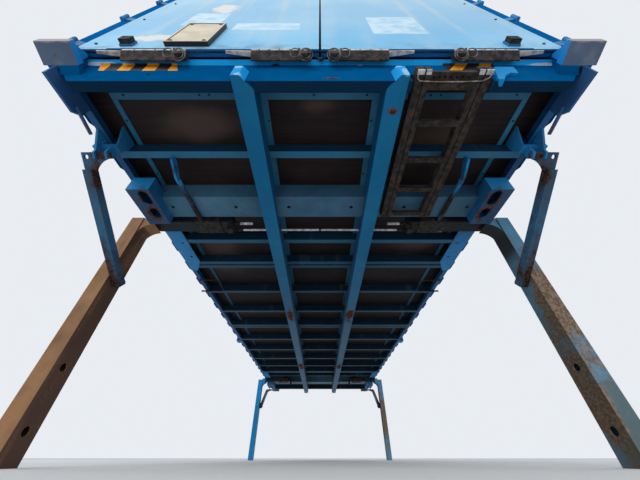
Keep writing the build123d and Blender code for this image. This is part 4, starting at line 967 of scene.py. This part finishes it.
@dataclass
class DoorTrim:
    """Rubber lips round the leaves, a bolt at each hinge and a folded strip at the foot."""

    lip: float = 0.0035
    lip_in: float = 0.012
    bolt: Outline = ((0.0, 0.0), (0.0075, 0.0), (0.0075, 0.004), (0.0055, 0.006),
                     (0.0, 0.0065))
    bolt_in: float = 0.066
    bolt_sides: int = 6
    heights: int = 5
    first: float = 0.086
    last: float = 0.058
    edge_points: int = 24
    strip: tuple[float, float] = (0.728, 1.045)
    strip_size: tuple[float, float] = (0.0025, 0.007)
    strip_above: float = 0.001
    strip_round: float = 0.0008

    def lips(self, side: str, body: Body, material: Material) -> None:
        """A soft lip round the lapping edge of one leaf.

        Args:
            side: Name of the side.
            body: The leaf's body.
            material: Rubber.
        """
        low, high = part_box(f"door_{side}")
        y = low.y + self.lip_in
        loop = np.array([[low.x, y, low.z], [high.x, y, low.z], [high.x, y, high.z], [low.x, y, high.z]])
        points = np.concatenate([np.linspace(start, end, self.edge_points, endpoint=False)
                                 for start, end in zip(loop, np.roll(loop, -1, axis=0))])
        shape = carried(points, self.lip, closed=True)
        piece(f"seal_lip_{side}", shape, material, body)

    def bolts(self, side: str, body: Body, material: Material) -> None:
        """A hexagonal head by every hinge of one leaf.

        Args:
            side: Name of the side.
            body: The leaf's body.
            material: Steel of the bolts.
        """
        low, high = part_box(f"door_{side}")
        x = high.x - self.bolt_in if side == "right" else low.x + self.bolt_in
        head = turned(self.bolt, 1, self.bolt_sides)
        levels = np.linspace(low.z + self.first, high.z - self.last, self.heights)
        places = [(x, low.y, z) for z in levels]
        piece(f"hinge_bolts_{side}", head.repeated(places), material, body)

    def strips(self, material: Material) -> None:
        """A folded strip over the outer lock of each leaf.

        Args:
            material: Paint of the strips.
        """
        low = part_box("door_right")[0]
        thick, tall = self.strip_size
        start, end = self.strip
        shape = slab((start, low.y - thick, low.z + self.strip_above), (end, low.y, low.z + tall),
                     self.strip_round)
        piece("foot_strip_right", shape, material, Body.DOOR_RIGHT)
        piece("foot_strip_left", shape.flipped(), material, Body.DOOR_LEFT)

    def build(self, coats: Coats) -> None:
        """Trim both leaves.

        Args:
            coats: The finishes of the CAD nodes.
        """
        bolt_steel = Steel("bolt_steel", "2b3036", "5a6066", 0.3, 0.3).shade()
        for side, body in zip(SIDES, (Body.DOOR_RIGHT, Body.DOOR_LEFT)):
            self.lips(side, body, coats.made["rubber"])
            self.bolts(side, body, bolt_steel)
        self.strips(Paint("strip_paint", "1f5f92", "184e7c", rust=0.1).shade())


@dataclass
class LockFittings:
    """Wire loops, pins and rivets on the locks under the doors."""

    hubs: tuple[float, ...] = (0.071, 0.677)
    # Place of each loop beside the hub, out from the door and down from its edge, then its radius.
    loops: tuple[tuple[float, float, float, float], ...] = (
        (-0.004, -0.006, 0.062, 0.032),
        (-0.002, -0.004, 0.058, 0.024),
        (0.048, -0.001, 0.056, 0.023),
    )
    wire: float = 0.0024
    ring_points: int = 36
    lean: float = 56.0
    pin: Outline = ((0.0, 0.0), (0.007, 0.0), (0.007, 0.006), (0.004, 0.009), (0.0, 0.0095))
    pin_place: Triple = (0.031, 0.002, 0.010)
    rivet: Outline = ((0.0, 0.0), (0.0045, 0.0), (0.0035, 0.002), (0.0, 0.003))
    rivets: tuple[float, ...] = (0.075, 0.125, 0.175, 0.225)

    def loop(self, radius: float) -> Shape:
        """A wire ring whose plane leans with the housing's underside.

        Args:
            radius: The ring's radius.

        Returns:
            The ring: a circle in x and along the leaning direction.
        """
        turn = np.linspace(0.0, 2 * pi, self.ring_points, endpoint=False)
        slant = radians(self.lean)
        ring = np.stack([np.cos(turn), np.sin(turn) * cos(slant), -np.sin(turn) * sin(slant)], axis=1)
        return carried(ring * radius, self.wire, closed=True)

    def build(self) -> None:
        """Add loops, pins and rivets to the four locks."""
        bright = Steel("scraped_steel", "3d3a39", "7d7874", 0.45, 0.3).shade()
        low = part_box("door_right")[0]
        shapes = [self.loop(radius).at((hub + ahead, low.y - out, low.z - down))
                  for hub in self.hubs for ahead, out, down, radius in self.loops]
        ahead, out, down = self.pin_place
        pin = turned(self.pin, 1, BEND_SIDES)
        shapes.append(pin.repeated([(hub + ahead, low.y + out, low.z - down) for hub in self.hubs]))
        rivet = turned(self.rivet, 1, BEND_SIDES)
        places = [(hub + gap, low.y, low.z - down) for hub in self.hubs for gap in self.rivets]
        shape = joined([*shapes, rivet.repeated(places)])
        piece("lock_loops_right", shape, bright, Body.DOOR_RIGHT)
        piece("lock_loops_left", shape.flipped(), bright, Body.DOOR_LEFT)


@dataclass
class PlateScrews:
    """Screws with cups at the corners of the blank plate."""

    inset: float = 0.026
    sunk: float = 0.003
    cup_sides: int = 16
    cup: Outline = ((0.0, 0.0), (0.0105, 0.0), (0.0105, 0.002), (0.0080, 0.0035),
                    (0.0065, 0.0015), (0.0, 0.0015))

    def build(self) -> None:
        """Put a screw in each corner of the plate."""
        steel = Steel("screw_steel", "3a352f", "6d6252", 0.35, 0.3).shade()
        low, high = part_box("document_plate")
        cup = turned(self.cup, 1, self.cup_sides)
        places = [(x, low.y + self.sunk, z) for x in (low.x + self.inset, high.x - self.inset)
                  for z in (low.z + self.inset, high.z - self.inset)]
        piece("plate_screws", cup.repeated(places), steel, Body.DOOR_LEFT)


@dataclass
class SillTrim:
    """What closes the sill beside the guide rails, and the ring stop in its middle."""

    notch: Outline = ((0.3032, -3.6089), (0.3364, -3.6089), (0.3308, -3.603),
                      (0.3032, -3.603))
    levels: tuple[float, float] = (1.3205, 1.4398)
    stop: Triple = (0.004, -3.6275, 1.5405)
    knob: Outline = ((0.0, 0.0), (0.011, 0.0), (0.013, 0.005), (0.010, 0.011),
                     (0.0, 0.013))
    knob_sides: int = 12
    link: tuple[float, float] = (0.009, 0.006)
    link_points: int = 24
    link_wire: float = 0.0022
    link_places: tuple[Triple, ...] = ((-0.016, -0.010, 0.003), (0.017, -0.009, 0.002))
    end_outline: Outline = ((-3.6397, 1.4212), (-3.6092, 1.396), (-3.6092, 1.4397),
                            (-3.6397, 1.4397))
    end_x: tuple[float, float] = (1.115, 1.245)
    # Painted shade: a near-black spot for the hole in each end plate.
    hole_shade: tuple[Patch, ...] = mirrored(Patch((1.216, -3.624, 1.410), (0.020, 0.022, 0.018)))
    lip_outline: Outline = ((-3.725, 1.451), (-3.6402, 1.4211), (-3.6402, 1.462),
                            (-3.725, 1.486))
    lip_x: tuple[float, float] = (1.115, 1.1432)

    def build(self, coats: Coats) -> None:
        """Fill the notches, close the ends and add the stop.

        Args:
            coats: The finishes of the CAD nodes.
        """
        wedge = extruded(self.notch, 2, *self.levels)
        piece("rail_nose_fillers", wedge + wedge.flipped(), coats.made["sill"], Body.FRAME)
        end = extruded(self.end_outline, 0, *self.end_x)
        # Its near-black rust tones and its patches are the painted shade of each hole.
        deep = Paint("sill_end_paint", "01548a", "014a7a", "0f6c9e", 0.05, 0.05, 0.12, patches=self.hole_shade,
                     oxide_and_shade=("0c0909", "19110f", "281b16"), gloss=0.0).shade()
        piece("sill_end_plates", end + end.flipped(), deep, Body.FRAME)
        lip = extruded(self.lip_outline, 0, *self.lip_x)
        piece("block_cheeks", lip + lip.flipped(), coats.made["block"], Body.FRAME)
        knob = turned(self.knob, 1, self.knob_sides)
        link = carried(ring_path(*self.link, self.link_points), self.link_wire, closed=True)
        shape = knob + link.repeated(list(self.link_places))
        piece("middle_stop", shape.at(self.stop), coats.made["gear"], Body.FRAME)


@dataclass
class LadderTrim:
    """Scraped caps at the ladder's end, and the wire that runs under it."""

    caps: Outline = ((0.430, 0.462), (0.4695, 0.4925), (0.7035, 0.7265),
                     (0.734, 0.766))
    cap_y: tuple[float, float] = (-3.6492, -3.630)
    cap_z: tuple[float, float] = (1.3298, 1.3420)
    wire: tuple[Triple, ...] = ((0.4335, -3.640, 1.3270), (0.4345, -3.618, 1.3262), (0.446, -3.6075, 1.3258),
                                (0.520, -3.6045, 1.3258), (0.640, -3.6045, 1.3258), (0.728, -3.6075, 1.3262),
                                (0.752, -3.6200, 1.3268), (0.7625, -3.645, 1.3280))
    cap_round: float = 0.0015
    radius: float = 0.0026
    wire_points: int = 60

    def build(self) -> None:
        """Add the caps and the wire."""
        scraped = Steel("cap_steel", "8d8c8a", "c9cacb", 0.5, 0.12).shade()
        (rear, ahead), (bottom, top) = self.cap_y, self.cap_z
        caps = [slab((start, rear, bottom), (end, ahead, top), self.cap_round) for start, end in self.caps]
        piece("ladder_caps", joined(caps), scraped, Body.FRAME)
        corners = np.array(self.wire)
        steps = np.linspace(0.0, len(corners) - 1.0, self.wire_points)
        path = np.stack([np.interp(steps, np.arange(len(corners)), corners[:, i]) for i in range(3)], axis=1)
        dull = Steel("wire_steel", "6a625b", "b0a79e", 0.4, 0.25).shade()
        piece("ladder_wire", carried(path, self.radius), dull, Body.FRAME)


@dataclass
class FloorScrews:
    """Screw heads along the strips under the floor."""

    rear_x: tuple[float, ...] = (-1.047, -0.643, -0.590, -0.032, 0.250, 0.590, 0.643, 1.047)
    rear_in: float = 0.012
    rows_x: tuple[float, float] = (0.2925, 1.105)
    first: float = 0.15
    gap: float = 0.36
    rows: int = 19
    head: Outline = ((0.0, 0.0), (0.0065, 0.0), (0.0055, 0.0022), (0.0, 0.0032))

    def build(self) -> None:
        """Lay the heads in rows."""
        steel = Steel("floor_screw_steel", "14110f", "37302b", 0.15, 0.4).shade()
        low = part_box("floor_bearers")[0]
        head = turned(self.head, 2, BEND_SIDES)
        places = [(x, low.y + self.rear_in, low.z) for x in self.rear_x]
        for row in range(self.rows):
            y = low.y + self.first + row * self.gap
            places += [(side * x, y, low.z) for x in self.rows_x for side in (-1, 1)]
        piece("floor_screws", head.repeated(places), steel, Body.FRAME)


@dataclass
class PolishedBarsAndHighlights:
    """Rubbed-bright lengths of the lock bolts and of the bar between them, made pale as painted highlights."""

    # Y, z and radius of each bar, and where its bright lengths start and end.
    bolt: tuple[float, float, float] = (-2.602, 1.406, 0.0112)
    bolt_spans: Outline = ((0.512, 0.606),)
    bar: tuple[float, float, float] = (-2.565, 1.374, 0.0080)
    bar_spans: Outline = ((0.404, 0.586), (0.008, 0.296))
    sides: int = 16

    def build(self) -> None:
        """Sleeve the bars on both sides."""
        steel = Steel("rubbed_steel_and_highlight", "8f959c", "d3d6da", 0.6, 0.1).shade()
        shapes = []
        for (y, z, radius), spans in ((self.bolt, self.bolt_spans), (self.bar, self.bar_spans)):
            for start, end in spans:
                path = np.array([[x, y, z] for x in (start, (start + end) / 2, end)])
                shapes.append(carried(path, radius, self.sides))
        shape = joined(shapes)
        piece("polished_bars_and_highlights", shape + shape.flipped(), steel, Body.FRAME)


@dataclass
class RoofStrips:
    """Flat strips on the top rails that close the ends of the roof's folds."""

    thick: float = 0.005
    below: float = 0.0015
    round_off: float = 0.0008

    def build(self, coats: Coats) -> None:
        """Lay one strip along each edge of the roof.

        Args:
            coats: The finishes of the CAD nodes.
        """
        low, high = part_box("roof")
        strip = slab((high.x - self.thick, low.y, low.z), (high.x, high.y, high.z - self.below),
                     self.round_off)
        piece("roof_edge_strips", strip + strip.flipped(), coats.made["post"], Body.FRAME)


@dataclass
class Studio:
    """Camera, floor, backdrop and lamps."""

    eye: Triple = (0.0, -4.0375, 0.034)
    pitch: float = 130.067
    lens: float = 14.59
    backdrop: str = "e9edf2"
    soft: str = "f2f5fa"
    level: float = 0.82
    reach: float = 60.0
    # Name, place, turn in degrees, size and power of each lamp.
    lamp_table: tuple[tuple[str, Triple, Triple, float, float], ...] = (
        ("rear_lamp", (-4.0, -12.5, 6.5), (62.0, 0.0, -17.0), 9.0, 650.0),
        ("left_lamp", (-12.0, -1.5, 2.5), (84.0, 0.0, -90.0), 8.0, 640.0),
        ("right_lamp", (12.0, -1.0, 3.5), (78.0, 0.0, 90.0), 8.0, 300.0),
    )

    def camera(self) -> None:
        """Set the camera where the photograph was taken from."""
        data = bpy.data.cameras.new("camera")
        data.lens = self.lens
        data.clip_start = 0.01
        data.clip_end = 300.0
        thing = bpy.data.objects.new("camera", data)
        thing.location = self.eye
        thing.rotation_euler = (radians(self.pitch), 0.0, 0.0)
        bpy.context.scene.collection.objects.link(thing)
        bpy.context.scene.camera = thing

    def floor(self) -> None:
        """Lay a plain pale floor under the feet."""
        graph = Graph("studio_floor")
        cloud = graph.noise(1.5, 4.0)
        colour = graph.blend(cloud, tint("cfd0d0"), tint("dadbdb"))
        material = graph.surface(colour, 0.9, 0.0, graph.noise(60.0, 3.0), 0.0004)
        corners = [(-1, -1), (1, -1), (1, 1), (-1, 1)]
        mesh = bpy.data.meshes.new("studio_floor")
        mesh.from_pydata([(x * self.reach, y * self.reach, 0.0) for x, y in corners], [], [[0, 1, 2, 3]])
        mesh.materials.append(material)
        thing = bpy.data.objects.new("studio_floor", mesh)
        bpy.context.scene.collection.objects.link(thing)

    def world(self) -> None:
        """Pale for the camera, mirrors and glass, and plain soft light for everything else."""
        world = bpy.data.worlds.new("studio")
        bpy.context.scene.world = world
        world.use_nodes = True
        tree = world.node_tree
        tree.nodes.clear()
        path = tree.nodes.new("ShaderNodeLightPath")
        seen = path.outputs["Is Camera Ray"]
        for name in ("Is Glossy Ray", "Is Transmission Ray"):
            either = tree.nodes.new("ShaderNodeMath")
            either.operation = "MAXIMUM"
            tree.links.new(seen, either.inputs[0])
            tree.links.new(path.outputs[name], either.inputs[1])
            seen = either.outputs[0]
        soft = tree.nodes.new("ShaderNodeBackground")
        soft.inputs[0].default_value = tint(self.soft)
        soft.inputs[1].default_value = self.level
        shown = tree.nodes.new("ShaderNodeBackground")
        shown.inputs[0].default_value = tint(self.backdrop)
        shown.inputs[1].default_value = 1.0
        choice = tree.nodes.new("ShaderNodeMixShader")
        tree.links.new(seen, choice.inputs[0])
        tree.links.new(soft.outputs[0], choice.inputs[1])
        tree.links.new(shown.outputs[0], choice.inputs[2])
        output = tree.nodes.new("ShaderNodeOutputWorld")
        tree.links.new(choice.outputs[0], output.inputs[0])

    def lamps(self) -> None:
        """Large soft lamps: one behind the camera and one at each side."""
        for name, place, turn, size, power in self.lamp_table:
            data = bpy.data.lights.new(name, "AREA")
            data.size = size
            data.energy = power
            thing = bpy.data.objects.new(name, data)
            thing.location = place
            thing.rotation_euler = tuple(radians(angle) for angle in turn)
            thing.visible_camera = False
            bpy.context.scene.collection.objects.link(thing)

    def build(self) -> None:
        """Set up the whole studio."""
        bpy.context.scene.view_settings.view_transform = "Standard"
        self.camera()
        self.floor()
        self.world()
        self.lamps()


def main() -> None:
    """Build the studio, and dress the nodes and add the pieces."""
    logging.basicConfig(level=logging.INFO)
    Studio().build()
    coats = Coats()
    coats.build()
    HazardTape().build()
    DoorTrim().build(coats)
    LockFittings().build()
    PlateScrews().build()
    SillTrim().build(coats)
    LadderTrim().build()
    FloorScrews().build()
    PolishedBarsAndHighlights().build()
    RoofStrips().build(coats)


if __name__ == "__main__":
    main()
